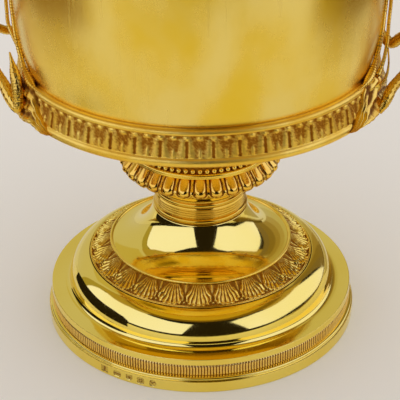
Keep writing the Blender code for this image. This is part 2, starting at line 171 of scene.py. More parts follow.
def ramp(tree, value, low, high, out_low=0.0, out_high=1.0):
    """Maps low..high of a value to out_low..out_high, smoothly."""
    node = add_node(tree, "MapRange", {"interpolation_type": "SMOOTHSTEP"}, Value=value,
                    From_Min=low, From_Max=high, To_Min=out_low, To_Max=out_high)
    return node.outputs["Result"]


def make_gilding_clouds():
    """Slow drifts of colour and polish that fire gilding shows: a cloud and a finer speck."""
    speck_fineness = 14.0
    group, given, result = new_group("gilding_clouds", [("Fineness", 30.0)], ["Cloud", "Speck"])
    place = add_node(group, "TexCoord").outputs["Object"]
    upright = add_node(group, "Mapping", Vector=place)
    upright.inputs["Scale"].default_value = (1.0, 1.0, 0.6)
    cloud = add_node(group, "TexNoise", Vector=upright.outputs[0], Scale=given.outputs["Fineness"],
                     Detail=3.0, Roughness=0.45, Distortion=0.2)
    fine = add_node(group, "Math", {"operation": "MULTIPLY"}, i0=given.outputs["Fineness"],
                    i1=speck_fineness)
    speck = add_node(group, "TexNoise", Vector=place, Scale=fine.outputs[0], Detail=2.0)
    group.links.new(ramp(group, cloud.outputs[0], 0.30, 0.70), result.inputs["Cloud"])
    group.links.new(ramp(group, speck.outputs[0], 0.35, 0.75), result.inputs["Speck"])
    return group


def make_hairlines():
    """Fine scratches left by cleaning cloths: two sets of thin lines that cross."""
    group, given, result = new_group("hairlines", [("Fineness", 300.0)], ["Line"])
    place = add_node(group, "TexCoord").outputs["Object"]
    sets = []
    for turn in ((0.3, 0.5, 0.9), (1.1, -0.4, 2.2)):
        mapped = add_node(group, "Mapping", Vector=place)
        mapped.inputs["Rotation"].default_value = turn
        mapped.inputs["Scale"].default_value = (1.0, 0.035, 0.035)
        lines = add_node(group, "TexNoise", Vector=mapped.outputs[0],
                         Scale=given.outputs["Fineness"], Detail=3.0, Roughness=0.7)
        sets.append(ramp(group, lines.outputs[0], 0.62, 0.72))
    both = add_node(group, "Math", {"operation": "MAXIMUM"}, i0=sets[0], i1=sets[1])
    group.links.new(both.outputs[0], result.inputs["Line"])
    return group


def make_tone_and_shade_in_hollows():
    """Darker brown in cut and cast hollows, partly tone that settles there and partly painted shade;
    fine noise breaks it up.
    """
    broken_by = 0.35
    shifted_by = -0.17
    fade = 0.45
    group, given, result = new_group("tone_and_shade_in_hollows", [("Reach", 0.5)], ["Tone"])
    place = add_node(group, "TexCoord").outputs["Object"]
    deep = add_node(group, "Attribute", {"attribute_name": "hollow"}).outputs["Fac"]
    broken = add_node(group, "TexNoise", Vector=place, Scale=900.0, Detail=3.0)
    shift = add_node(group, "Math", {"operation": "MULTIPLY_ADD"}, i0=broken.outputs[0],
                     i1=broken_by, i2=shifted_by)
    depth = add_node(group, "Math", {"operation": "ADD"}, i0=deep, i1=shift.outputs[0])
    start = add_node(group, "Math", {"operation": "SUBTRACT"}, i0=1.0, i1=given.outputs["Reach"])
    end = add_node(group, "Math", {"operation": "ADD"}, i0=start.outputs[0], i1=fade)
    tone_and_shade = ramp(group, depth.outputs[0], start.outputs[0], end.outputs[0])
    group.links.new(tone_and_shade, result.inputs["Tone"])
    return group


gilding_clouds = make_gilding_clouds()
hairlines = make_hairlines()
tone_and_shade_in_hollows = make_tone_and_shade_in_hollows()


def use_group(tree, group, **values):
    """Places a shared effect in a material with the material's own values."""
    node = tree.nodes.new("ShaderNodeGroup")
    node.node_tree = group
    for key, value in values.items():
        node.inputs[key].default_value = value
    return node


def gilt(name, bright, rich, tone_and_shade, gloss, dull, cloud_fineness=30.0, reach=0.3, wave=0.00002,
         wave_fineness=60.0, scratch=0.1, grain=0.0, grain_fineness=1500.0):
    """Gilt silver: bright and rich gold drift into each other; hollows take a dark brown colour that
    is partly tone and partly painted shade.

    gloss and dull are the roughness of clean polish and of tarnished cloud; reach says how far the
    dark brown of tone and painted shade climbs out of the hollows; wave is the height, in metres, of
    the hammered unevenness left under the polish, and grain that of a matted ground. A pattern is
    finer as its fineness rises.
    """
    speck_share = 0.3
    hollow_matt = 0.35
    scratch_depth = 0.0000003
    material = bpy.data.materials.new(name)
    material.use_nodes = True
    tree = material.node_tree
    shader = tree.nodes["Principled BSDF"]
    place = add_node(tree, "TexCoord").outputs["Object"]
    clouds = use_group(tree, gilding_clouds, Fineness=cloud_fineness)
    lines = use_group(tree, hairlines)
    tone_and_shade_mask = use_group(tree, tone_and_shade_in_hollows, Reach=reach)
    drift = add_node(tree, "Mix", {"data_type": "RGBA"}, Factor=clouds.outputs["Cloud"],
                     i6=(*bright, 1.0), i7=(*rich, 1.0))
    # Painted shade with brown tone: the gilt colour turns to the dark brown colour where the hollow
    # mask is high.
    colour = add_node(tree, "Mix", {"data_type": "RGBA"}, Factor=tone_and_shade_mask.outputs["Tone"],
                      i6=drift.outputs[2], i7=(*tone_and_shade, 1.0))
    tree.links.new(colour.outputs[2], shader.inputs["Base Color"])
    shader.inputs["Metallic"].default_value = 1.0
    cloudy = ramp(tree, clouds.outputs["Cloud"], 0.0, 1.0, gloss, dull)
    specked = add_node(tree, "Math", {"operation": "MULTIPLY_ADD"}, i0=clouds.outputs["Speck"],
                       i1=(dull - gloss) * speck_share, i2=cloudy)
    scratched = add_node(tree, "Math", {"operation": "MULTIPLY_ADD"}, i0=lines.outputs["Line"],
                         i1=scratch, i2=specked.outputs[0])
    matt = add_node(tree, "Math", {"operation": "MULTIPLY_ADD"}, i0=tone_and_shade_mask.outputs["Tone"],
                    i1=hollow_matt, i2=scratched.outputs[0])
    tree.links.new(matt.outputs[0], shader.inputs["Roughness"])
    swell = add_node(tree, "TexNoise", Vector=place, Scale=wave_fineness, Detail=1.0)
    height = add_node(tree, "Math", {"operation": "MULTIPLY"}, i0=swell.outputs[0], i1=wave)
    cut = add_node(tree, "Math", {"operation": "MULTIPLY_ADD"}, i0=lines.outputs["Line"],
                   i1=-scratch_depth, i2=height.outputs[0])
    if grain:
        pits = add_node(tree, "TexNoise", Vector=place, Scale=grain_fineness, Detail=2.0)
        cut = add_node(tree, "Math", {"operation": "MULTIPLY_ADD"}, i0=pits.outputs[0], i1=grain,
                       i2=cut.outputs[0])
    bump = add_node(tree, "Bump", Strength=1.0, Distance=1.0, Height=cut.outputs[0])
    tree.links.new(bump.outputs[0], shader.inputs["Normal"])
    return material


FOOT_RADIUS = node_radius("foot")
FOOT_BOTTOM = node_bottom("foot")
FOOT_STEPS = 176
DOME_TOP = 56.0
RIM_TOP = 5.4
LEDGE = 16.6
MARKS = (-126.6, -121.1, -116.2, -111.8, -107.3)   # degrees round the rim, front is -90
MARK_HEIGHT = 2.7
MARK_DEPTH = 0.3
DEVICE_DEPTH = 0.35   # share of the depth that is left under a device
MARK_MARGIN = 2.5   # degrees of finer mesh on either side of the row
MARK_STEP = 0.003   # radians from point to point in the finer mesh


def mark_shapes(across, up, index):
    """Depth of mark number index, 0 outside to 1 at its ground; its device stands prouder."""
    r = np.hypot(across, up)
    if index == 0:      # oblong with an upright waved bar
        edge = np.maximum(np.abs(across) / 1.9, np.abs(up) / 1.45)
        device = np.abs(across - 0.2 * np.sin(up * 3.0)) < 0.45
    elif index == 1:    # oblong with cut corners and a level bar
        edge = np.maximum(np.maximum(np.abs(across) / 1.9, np.abs(up) / 1.35),
                          (np.abs(across) + np.abs(up)) / 2.6)
        device = np.abs(up) < 0.4
    elif index == 2:    # shield with a lozenge
        edge = np.maximum(np.abs(across) / 1.5, np.maximum(up / 1.45, (r - up * 0.4) / 1.7))
        device = (np.abs(across) + np.abs(up)) < 0.8
    elif index == 3:    # cushion with a ring
        edge = np.maximum(np.abs(across) / 1.7, np.abs(up) / 1.5) * 0.5 + r / 1.75 * 0.5
        device = (r < 0.95) & (r > 0.5)
    else:               # disc with a chevron
        edge = r / 1.6
        device = np.abs(np.abs(across) - up - 0.2) < 0.35
    sunk = np.clip((1.12 - edge) / 0.12, 0.0, 1.0)
    return sunk * np.where(device, DEVICE_DEPTH, 1.0)


def raised_foot_mesh():
    """Foot spun from its outline, with a finer stretch of rim where the marks are struck."""
    outline = [(0.0, DOME_TOP), (22.0, DOME_TOP)]
    outline += arc((44.8, 63.9), (23.4, 25.9), 197.8, 263.0, 26)
    outline += [(42.5, 38.1), (42.7, 36.6), (53.2, 30.2), (53.9, 30.7)]
    outline += arc((51.1, 17.8), (12.9, 14.1), 76.0, 7.0, 30)
    outline += arc((66.45, 19.2), (2.6, 2.65), 183.0, 268.0, 9)
    outline += [(69.0, 16.5), (71.5, 16.55), (73.0, LEDGE), (73.3, 13.6), (72.6, 13.5),
                (72.6, 7.5), (73.5, 7.4)]
    outline += arc((73.7, 6.5), (0.75, 0.8), 80.0, -60.0, 6)
    outline += [(74.2, RIM_TOP + 0.2), (FOOT_RADIUS, RIM_TOP - 0.1)]
    section = eased(outline)
    rim = [(FOOT_RADIUS, h) for h in np.linspace(RIM_TOP - 0.5, 0.45, 26)]
    inside = [(FOOT_RADIUS, 0.2), (74.8, FOOT_BOTTOM), (72.3, FOOT_BOTTOM), (72.0, 0.3)]
    inside += [(72.0, 6.0), (71.3, 14.6), (62.8, 14.8)]
    inside += arc((51.1, 17.8), (11.3, 12.5), 8.0, 72.0, 9)
    inside += [(42.2, 35.0)] + arc((44.8, 63.9), (25.0, 27.5), 257.0, 200.2, 10) + [(0.0, 54.4)]
    outline = np.array(list(section) + rim + inside)

    coarse = even_turn(FOOT_STEPS)
    first, last = math.radians(MARKS[0] - MARK_MARGIN), math.radians(MARKS[-1] + MARK_MARGIN)
    fine = np.arange(first, last, MARK_STEP)
    turn = np.concatenate([coarse, fine])
    turn = np.where(turn > math.pi, turn - math.tau, turn)
    keep = (turn < first) | (turn > last)
    turn = np.sort(np.concatenate([turn[keep], fine]))
    radii = np.repeat(outline[None, :, 0], len(turn), 0)
    heights = np.repeat(outline[None, :, 1], len(turn), 0)
    hollow = np.zeros(radii.shape)
    on_rim = np.abs(outline[:, 0] - FOOT_RADIUS) < 0.001
    for index, place in enumerate(MARKS):
        across = (turn - math.radians(place)) * FOOT_RADIUS
        up = outline[:, 1] - MARK_HEIGHT
        sunk = mark_shapes(across[:, None], up[None, :], index) * on_rim[None, :]
        radii -= sunk * MARK_DEPTH
        # Painted shade with brown tone: each mark's sunk ground is darkened, and its sloping walls
        # most of all.
        hollow += sunk * 0.6 + 3.0 * sunk * (1.0 - sunk)
    return ring_mesh("raised_foot", turn, radii, heights, hollow)


foot_gilt = gilt("burnished_foot_gilt", bright=(1.0, 0.80, 0.17), rich=(0.97, 0.74, 0.12),
                 tone_and_shade=(0.36, 0.19, 0.03), gloss=0.05, dull=0.10, cloud_fineness=26.0, wave=0.00003,
                 wave_fineness=40.0, scratch=0.06, reach=0.6)
raised_foot = new_piece("raised_foot", raised_foot_mesh(), foot_gilt)
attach(raised_foot, "root")
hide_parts("foot")


# ---------------------------------------------------------------- reeded edge
# A strip of fine upright reeds, drawn in silver and gilt, is soldered into a channel round the
# foot, between a small thread and the ledge. Its grooves are darkened with brown tone and painted
# shade.

REEDS = 342
REED_STEPS = 6
REED_DEPTH = 0.62
STRIP_RADIUS = 72.72
STRIP_BACK = 72.3
STRIP_BOTTOM = 7.45


def chased_ring_mesh(name, turn, radii, heights, hollow, before=(), after=()):
    """Ring with a worked face between plain rows, each given as (radius, height, hollow)."""
    whole = []
    for column, face in enumerate((radii, heights, hollow)):
        plain = [np.tile([row[column] for row in rows], (len(turn), 1)) for rows in (before, after)]
        whole.append(np.concatenate([plain[0], face, plain[1]], 1))
    return ring_mesh(name, turn, *whole)


def reeded_edge_mesh():
    """Strip with one round-topped reed for each wave of the cosine, rounded off at both ends."""
    turn = even_turn(REEDS * REED_STEPS)
    up = np.array([0.0, 0.12, 0.35, 1.2, 2.95, 4.7, 5.55, 5.8, 5.9])
    lift = np.array([-0.25, 0.05, 0.4, 0.78, 0.8, 0.78, 0.4, 0.05, -0.25])
    reed = np.abs(np.cos(REEDS * turn / 2.0))[:, None]
    radii = STRIP_RADIUS + lift[None, :] * 0.15 + (lift.clip(0.0) * REED_DEPTH)[None, :] * reed
    heights = np.repeat((STRIP_BOTTOM + up)[None, :], len(turn), 0)
    # Painted shade with brown tone: the grooves between the reeds are darkened, the reed tops kept
    # bright.
    hollow = np.repeat(1.0 - reed ** 0.8, len(up), 1)
    back = [(STRIP_BACK, STRIP_BOTTOM, 1.0), (STRIP_BACK, STRIP_BOTTOM + up[-1], 1.0)]
    return chased_ring_mesh("reeded_edge", turn, radii[:, ::-1], heights[:, ::-1], hollow,
                            after=back)


reed_gilt = gilt("reed_gilt_toned_and_shaded", bright=(1.0, 0.70, 0.17), rich=(0.95, 0.60, 0.11),
                 tone_and_shade=(0.25, 0.09, 0.01), gloss=0.18, dull=0.28, cloud_fineness=60.0, reach=0.8,
                 scratch=0.05)
reeded_edge = new_piece("reeded_edge", reeded_edge_mesh(), reed_gilt)
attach(reeded_edge, "root")
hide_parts("foot_reeded_band")


# ---------------------------------------------------------------- foot leaf band
# An applied silver ring on the slope under the dome: twenty-four fan-shaped leaves, tip outward,
# chased by hand on a matted ground between two plain wires, then gilt. The ribs keep the bright
# gilt, and the ground is darkened with brown tone and painted shade, the deeper the darker.

FOOT_LEAVES = 24
FOOT_LEAF_START = -91.2   # degrees, the middle of one leaf
FOOT_BAND_OUTER = np.array([53.6, 31.4])
FOOT_BAND_INNER = np.array([43.2, 38.0])
FOOT_BAND_BED = -0.75
FOOT_BAND_BACK = -0.82
LEAF_STEPS = 52
LEAF_ROWS = 42


def smooth(value, low, high):
    """0 below low, 1 above high, and an even curve between them."""
    t = np.clip((value - low) / (high - low), 0.0, 1.0)
    return t * t * (3.0 - 2.0 * t)


def foot_leaf_relief(across, along, sway):
    """Height in mm of one leaf: across -1..1, along 0 at the inner wire to 1 at the outer one.

    flank is the leaf's half width, end its scalloped tip, fold the fan of ribs and curl the edge
    that turns up. A dart rises between two leaves at the root and a bud between their tips.
    """
    side = np.abs(across)
    flank = 0.50 + 0.42 * smooth(along, 0.0, 0.5) + 0.02 * np.sin(along * 15.0 + sway)
    swing = np.arctan2(across * 0.5, along + 0.34) / 0.50
    swing += 0.05 * np.sin(along * 13.0 + side * 5.0 + sway) * (across + 0.2 * np.sin(sway))
    fold = np.cos(7.0 * math.pi * swing)
    end = 0.94 - 0.30 * side ** 3.2 + 0.04 * fold
    inside = smooth(flank - side, -0.02, 0.05) * smooth(end - along, -0.01, 0.025)
    ridge = (0.5 + 0.5 * fold) ** 1.5
    height = inside * (0.26 + 0.65 * ridge * (0.45 + 0.55 * smooth(along, 0.1, 0.7)))
    curl = np.exp(-((end - along - 0.05) / 0.035) ** 2)
    curl = curl + np.exp(-((flank - side - 0.06) / 0.05) ** 2)
    height += inside * curl * (0.2 + 0.35 * ridge) * smooth(along, 0.1, 0.4)
    height *= 0.93 + 0.07 * np.cos(along * 24.0 + side * 6.0 + 2.0 * sway)
    dart = smooth(0.30 * (1.0 - along / 0.5) - (1.0 - side), 0.0, 0.07) * 0.3
    dart += np.exp(-((1.0 - side) / 0.05) ** 2) * smooth(0.62 - along, 0.0, 0.15) * 0.25
    bud = np.exp(-((1.0 - side) / 0.08) ** 2 - ((along - 0.79) / 0.05) ** 2) * 0.75
    return np.maximum(np.maximum(height, dart), bud)


def foot_leaves_mesh():
    """Ring of leaves, each swayed a little its own way, with the marks of the chasing tool."""
    turn = even_turn(FOOT_LEAVES * LEAF_STEPS)
    place = (turn - math.radians(FOOT_LEAF_START)) * FOOT_LEAVES / math.tau
    across = (place - np.round(place)) * 2.0
    along = np.linspace(0.06, 0.925, LEAF_ROWS)
    rng = np.random.default_rng(7)
    sway = rng.uniform(-1.6, 1.6, FOOT_LEAVES)[np.round(place).astype(int) % FOOT_LEAVES]
    height = foot_leaf_relief(across[:, None], along[None, :], sway[:, None])
    tooling = rng.normal(0.0, 1.0, height.shape)
    tooling = (tooling + np.roll(tooling, 1, 0) + np.roll(tooling, 1, 1)) * 0.02
    ground = smooth(0.2 - height, 0.0, 0.2)
    height = height + tooling * (0.35 + ground)
    slope = FOOT_BAND_OUTER - FOOT_BAND_INNER
    length = np.linalg.norm(slope)
    rise = np.array([-slope[1], slope[0]]) / length
    path = FOOT_BAND_INNER[None, :] + slope[None, :] * along[:, None]
    radii = path[None, :, 0] + rise[0] * (FOOT_BAND_BED + height)
    heights = path[None, :, 1] + rise[1] * (FOOT_BAND_BED + height)
    # Painted shade with brown tone: the lower the relief, the darker its colour.
    hollow = 1.0 - np.clip(height / 0.85, 0.0, 1.0)

    def wire(share, width, lift, steps):
        """Half-round wire along the ring, at a share of the slope."""
        bend = np.linspace(0.0, math.pi, steps)
        out = share - width * np.cos(bend) / length
        up = FOOT_BAND_BED + 0.3 + lift * np.sin(bend)
        return [(*(FOOT_BAND_INNER + slope * a + rise * b), 0.0) for a, b in zip(out, up)]

    inner_wire = wire(0.0, 0.8, 1.35, 9)
    outer_wires = wire(0.945, 0.28, 0.9, 5) + wire(0.987, 0.32, 1.0, 5)
    back = [(*(FOOT_BAND_INNER + slope * share + rise * FOOT_BAND_BACK), 1.0)
            for share in (1.01, 0.0)]
    return chased_ring_mesh("foot_leaves", turn, radii, heights, hollow, inner_wire,
                            outer_wires + back)


# Deeper, warmer gold than the plain foot: painted shade and warm bounce light of the chased leaves.
leaf_gilt = gilt("chased_leaf_gilt", bright=(1.0, 0.75, 0.12), rich=(0.97, 0.65, 0.06),
                 tone_and_shade=(0.40, 0.17, 0.01), gloss=0.13, dull=0.22, cloud_fineness=90.0, reach=0.72,
                 scratch=0.05, grain=0.00002, grain_fineness=1800.0)
foot_leaves = new_piece("foot_leaves", foot_leaves_mesh(), leaf_gilt)
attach(foot_leaves, "root")
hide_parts("foot_leaf_band")


# ---------------------------------------------------------------- stem collar
# A collar turned from silver and gilt, soldered between the foot and the knop: a base ring, four
# fine threads, a plain half-round and a flare that runs up under the lobes.

def node_top(node):
    """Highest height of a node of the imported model, in mm."""
    return round(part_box(node)[1][2] / MM, 1)


def turned_mesh(name, outline, steps=192):
    """Spins one closed outline round the axis."""
    outline = np.array(outline, float)
    radii = np.repeat(outline[None, :, 0], steps, 0)
    heights = np.repeat(outline[None, :, 1], steps, 0)
    return ring_mesh(name, even_turn(steps), radii, heights)


COLLAR_RADIUS = node_radius("stem_collar")
COLLAR_BOTTOM = node_bottom("stem_collar")
COLLAR_TOP = node_top("stem_collar")
COLLAR_THREADS = 4
THREAD_PITCH = 1.2

collar_outline = [(0.0, COLLAR_BOTTOM), (22.1, COLLAR_BOTTOM)]
collar_outline += arc((21.6, 57.5), (0.95, 1.2), -60.0, 70.0, 8)
collar_outline += [(21.35, 59.0)]
for thread in range(COLLAR_THREADS):
    collar_outline += arc((21.3, 59.7 + THREAD_PITCH * thread), (0.42, 0.5), -65.0, 65.0, 5)
collar_outline += [(21.1, 64.4)]
collar_outline += arc((21.2, 65.7), (0.75, 1.15), -70.0, 75.0, 8)
collar_outline += [(20.9, 67.2), (20.9, 67.7)]
collar_outline += arc((28.6, 68.0), (7.4, 6.2), 175.0, 95.0, 12)
collar_outline += [(COLLAR_RADIUS, COLLAR_TOP), (0.0, COLLAR_TOP)]
collar_mesh = turned_mesh("turned_collar", eased(collar_outline[::-1], 0.12), 112)

# Darker gold than the foot and bowl: painted shade of the collar under the knop.
collar_gilt = gilt("turned_collar_gilt", bright=(0.86, 0.55, 0.062), rich=(0.76, 0.45, 0.03),
                   tone_and_shade=(0.30, 0.13, 0.01), gloss=0.07, dull=0.13, cloud_fineness=60.0, scratch=0.06)
turned_collar = new_piece("turned_collar", collar_mesh, collar_gilt)
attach(turned_collar, "root")
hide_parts("stem_collar")


# ---------------------------------------------------------------- gadrooned knop
# A flattened knop, cast in silver, chased and gilt, with thirty lobes round it. Each lobe is
# pear-shaped and burnished, and a thin raised line runs down both sides and round its lower end.

KNOP_LOBES = 30
LOBE_STEPS = 20
LOBE_DEPTH = 1.45
KNOP_CORE = 18.0
KNOP_BOTTOM = 74.95
KNOP_TOP = 86.4


def gadrooned_knop_mesh():
    """Lobes along the knop's crest, the line over their tops.

    sideways and down are the distances, in mm, across a lobe and along it from its upper end.
    """
    turn = even_turn(KNOP_LOBES * LOBE_STEPS)
    place = (turn + math.pi / 2.0) * KNOP_LOBES / math.tau
    across = (place - np.round(place)) * 2.0
    crest = [(32.6, 87.2)]
    crest += [(33.0 + 3.7 * t, 86.9 - 4.1 * t) for t in np.linspace(0.0, 0.94, 16)]
    crest += arc((34.3, 80.4), (3.4, 3.4), 45.0, -84.0, 28)
    crest += [(33.2, 76.6), (31.6, 76.1), (29.6, 75.6), (28.0, 75.1)]
    crest = np.array(crest)
    step = np.gradient(crest, axis=0)
    step /= np.linalg.norm(step, axis=1)[:, None]
    out = np.stack([-step[:, 1], step[:, 0]], -1)
    down = np.concatenate([[0.0], np.cumsum(np.linalg.norm(np.diff(crest, axis=0), axis=1))])
    sideways = across[:, None] * (crest[:, 0] * math.pi / KNOP_LOBES)[None, :]
    width = (2.5 + 0.45 * smooth(down, 0.0, 5.0))[None, :]
    distance = np.hypot(sideways, np.clip(down - 8.3, 0.0, None)[None, :])
    flatness = (4.5 - 2.3 * smooth(down, 4.5, 8.0))[None, :]
    lobe = np.clip(1.0 - (distance / width) ** flatness, 0.0, 1.0)
    line = np.exp(-((distance - width - 0.6) / 0.26) ** 2)
    line = line * smooth(13.6 - down, 0.0, 1.0)[None, :]
    depth = LOBE_DEPTH * (1.0 - 0.15 * smooth(down, 7.0, 12.0))[None, :]
    groove = np.exp(-((distance - width - 0.05) / 0.22) ** 2)
    height = depth * lobe + 0.75 * line - 0.35 * groove + LOBE_DEPTH - depth
    radii = crest[None, :, 0] + out[None, :, 0] * (height - LOBE_DEPTH)
    heights = crest[None, :, 1] + out[None, :, 1] * (height - LOBE_DEPTH)
    # Painted shade with brown tone: the steep sides of each lobe and the groove round it are
    # darkened, the flat middle kept bright.
    hollow = smooth(distance / width, 0.72, 0.98) * smooth(width + 0.5 - distance, 0.0, 0.25)
    core = [(KNOP_CORE, KNOP_BOTTOM, 1.0), (KNOP_CORE, KNOP_TOP, 1.0)]
    return chased_ring_mesh("gadrooned_knop", turn, radii, heights, hollow, after=core)


# Deeper, warmer gold than the foot and bowl: painted shade and warm bounce light of the knop's lobes;
# the finial shares it.
knop_gilt = gilt("cast_knop_gilt", bright=(0.98, 0.62, 0.08), rich=(0.93, 0.52, 0.045),
                 tone_and_shade=(0.32, 0.11, 0.007), gloss=0.09, dull=0.15, cloud_fineness=60.0, reach=0.75,
                 scratch=0.05)
gadrooned_knop = new_piece("gadrooned_knop", gadrooned_knop_mesh(), knop_gilt)
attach(gadrooned_knop, "root")
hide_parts("knop")


# ---------------------------------------------------------------- bead ring
# A plain silver ring lies on the knop and carries a row of sixty-four small beads, soldered in a
# groove against the bowl's neck. The groove under the beads is darkened with brown tone and painted
# shade, and each bead has painted shade on its underside.

BEADS = 64
BEAD_RADIUS = 1.2
BEAD_ROW_RADIUS = 32.5
BEAD_ROW_HEIGHT = 90.3
GROOVE_HEIGHT = 89.2
RING_TOP = node_top("knop_bead_ring")

ring_outline = [(20.0, RING_TOP), (20.0, 86.95), (34.0, 86.95), (34.15, 87.3)]
ring_outline += arc((33.3, 88.3), (0.85, 0.95), -30.0, 60.0, 6)
ring_outline += [(33.2, 89.3), (31.3, 89.4), (31.1, RING_TOP)]


def bead_ring_mesh():
    """Turned ring with a row of round beads set in it."""
    bm = bmesh.new()
    bm.from_mesh(turned_mesh("ring", eased(ring_outline[::-1], 0.15), 160))
    hollow = bm.verts.layers.float["hollow"]
    # Painted shade with brown tone: the upper part of the ring, in the groove under the beads, takes
    # the dark colour.
    for vert in bm.verts:
        vert[hollow] = float(vert.co.z > GROOVE_HEIGHT * MM)
    for turn in even_turn(BEADS):
        centre = Vector((BEAD_ROW_RADIUS * math.cos(turn), BEAD_ROW_RADIUS * math.sin(turn),
                         BEAD_ROW_HEIGHT))
        made = bmesh.ops.create_uvsphere(bm, u_segments=12, v_segments=8, radius=BEAD_RADIUS * MM,
                                         matrix=Matrix.Translation(centre * MM))
        for vert in made["verts"]:
            # Painted shade: each bead darkens from its middle down to its underside.
            vert[hollow] = 0.6 * max(0.0, -(vert.co.z - centre.z * MM) / (BEAD_RADIUS * MM))
    mesh = bpy.data.meshes.new("bead_ring")
    bm.to_mesh(mesh)
    bm.free()
    mesh.shade_smooth()
    return mesh


# Deeper, warmer gold than the foot and bowl: painted shade and warm bounce light of the beaded ring.
bead_gilt = gilt("beaded_ring_gilt", bright=(1.0, 0.70, 0.09), rich=(0.96, 0.60, 0.06),
                 tone_and_shade=(0.52, 0.23, 0.01), gloss=0.12, dull=0.18, cloud_fineness=60.0, reach=0.8,
                 scratch=0.06)
bead_ring = new_piece("bead_ring", bead_ring_mesh(), bead_gilt)
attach(bead_ring, "root")
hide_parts("knop_bead_ring")


# ---------------------------------------------------------------- bowl
# The bowl is raised from one sheet of silver and left plain: shallow round underside on a short
# hollow neck, straight body that leans out a little, and a flared lip with a thread. It is gilt,
# inside and out, and the gilding is satin and cloudy.

NECK_BOTTOM = node_bottom("bowl")
LIP_TOP = node_top("bowl")
BODY_RADIUS = 78.2
BODY_BOTTOM = 132.8
BODY_LEAN = 0.054
BODY_FULLNESS = 1.4
BOWL_WALL = 1.6
WALL_START = 134.0
LIP_START = 226.0


def body_radius(height):
    """Outer radius of the plain wall: it leans out, a little fuller above the band."""
    fullness = smooth(height, 131.0, 153.0) * (1.0 - smooth(height, 170.0, 215.0))
    return BODY_RADIUS + BODY_LEAN * (height - BODY_BOTTOM) + BODY_FULLNESS * fullness


def belly(radius, height, shares):
    """Points on the shallow round belly, which starts at the neck and steepens outward."""
    return [(radius + 45.0 * b, height + 15.5 * b ** 1.55) for b in shares]


def bowl_mesh():
    """Bowl spun from one closed outline: down the inside from the middle, up the outside."""
    share = np.linspace(0.0, 1.0, 16)
    inner = [(0.0, 105.2), (27.0, 105.2)]
    inner += belly(30.0, 106.0, share[1:-1])
    inner += [(76.2, 123.0), (76.6, 126.0)]
    inner += [(body_radius(h) - BOWL_WALL, h)
              for h in np.linspace(WALL_START, LIP_START - 4.0, 8)]
    inner += arc((86.4, LIP_START - 2.0), (4.75, 10.5), 178.0, 100.0, 10)
    inner += [(86.3, LIP_TOP - 0.5), (86.9, LIP_TOP)]
    outer = [(88.3, LIP_TOP), (88.9, 236.9), (88.9, 235.6), (88.2, 235.1), (87.9, 234.6)]
    outer += arc((88.0, LIP_START - 3.0), (4.85, 11.0), 92.0, 178.0, 12)
    outer += [(body_radius(h), h) for h in np.linspace(LIP_START - 5.0, WALL_START, 24)]
    outer += [(BODY_RADIUS, 130.0), (BODY_RADIUS, 121.2), (77.0, 120.2)]
    outer += belly(31.0, 104.4, share[::-1])
    outer += arc((31.6, 100.0), (3.0, 4.0), 120.0, 240.0, 10)
    outer += [(30.6, 95.4), (31.0, 94.6), (31.0, 92.6), (30.7, NECK_BOTTOM + 0.05),
              (26.6, NECK_BOTTOM), (26.6, 103.0), (25.0, 103.6), (0.0, 103.6)]
    return turned_mesh("cup_bowl", eased(inner + outer, 0.2))


bowl_gilt = gilt("satin_bowl_gilt", bright=(0.95, 0.73, 0.185), rich=(0.93, 0.63, 0.045),
                 tone_and_shade=(0.42, 0.24, 0.05), gloss=0.22, dull=0.29, cloud_fineness=38.0, wave=0.00012,
                 wave_fineness=24.0, scratch=0.06)
cup_bowl = new_piece("cup_bowl", bowl_mesh(), bowl_gilt)
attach(cup_bowl, "root")
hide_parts("bowl")


# ---------------------------------------------------------------- bowl leaf band
# An applied silver band round the bottom of the body: forty-eight upright leaves, chased and gilt,
# under a bright wire and above a plain half-round moulding. A slit, darkened with brown tone and
# painted shade, and a small bead part each leaf from the next.

BAND_LEAVES = 48
BAND_LEAF_START = -97.4   # degrees, the middle of one leaf
BAND_STEPS = 28
BAND_ROWS = 28
BAND_LOW = np.array([82.55, 124.3])
BAND_HIGH = np.array([80.75, 133.2])
BAND_BED = -0.25


def bowl_leaf_relief(across, along):
    """Height, mm, and darkening by brown tone and painted shade of one leaf: across -1..1, along from
    0 to 1 under the wire.

    Its flanks stand up on either side of a sunk cup, with a short stem below. Knobs hang under
    the wire over each leaf and each slit, with a pocket sunk between them.
    """
    side = np.abs(across)
    flank = np.exp(-((side - 0.78 + 0.14 * (1.0 - along)) / (0.24 - 0.1 * along)) ** 2)
    flank = flank * smooth(0.86 - along, 0.0, 0.12)
    cup = smooth(0.66 - side, 0.0, 0.35) * smooth(along, 0.1, 0.45)
    cup = cup * smooth(0.86 - along, 0.0, 0.12)
    stem = np.exp(-(across / 0.12) ** 2) * smooth(0.48 - along, 0.0, 0.22)
    veins = 0.5 + 0.5 * np.cos(across * math.pi * 5.0 * (1.0 - 0.35 * along))
    knob = np.exp(-(side / 0.2) ** 2) + np.exp(-((1.0 - side) / 0.2) ** 2)
    knob = knob * np.exp(-((along - 0.89) / 0.085) ** 2)
    pocket = np.exp(-((side - 0.5) / 0.16) ** 2 - ((along - 0.92) / 0.07) ** 2)
    slit = np.exp(-((1.0 - side) / 0.085) ** 2) * smooth(0.76 - along, 0.0, 0.06)
    slit = slit * (0.75 + 0.25 * np.cos(along * 19.0))
    height = 0.42 + 0.3 * flank - 0.22 * cup + 0.35 * stem + 0.05 * veins + 0.5 * knob
    height -= 0.25 * pocket + 0.62 * slit
    # Painted shade with brown tone: the slits, the sunk cup and the pockets are darkened, while the
    # raised flanks, the stem and the knobs are kept light.
    tone_and_shade = 0.42 - 0.3 * flank * smooth(1.1 - along, 0.1, 0.9) + 0.12 * cup - 0.36 * stem
    tone_and_shade += slit - 0.05 * veins - 0.4 * knob + 0.25 * pocket
    return height, tone_and_shade


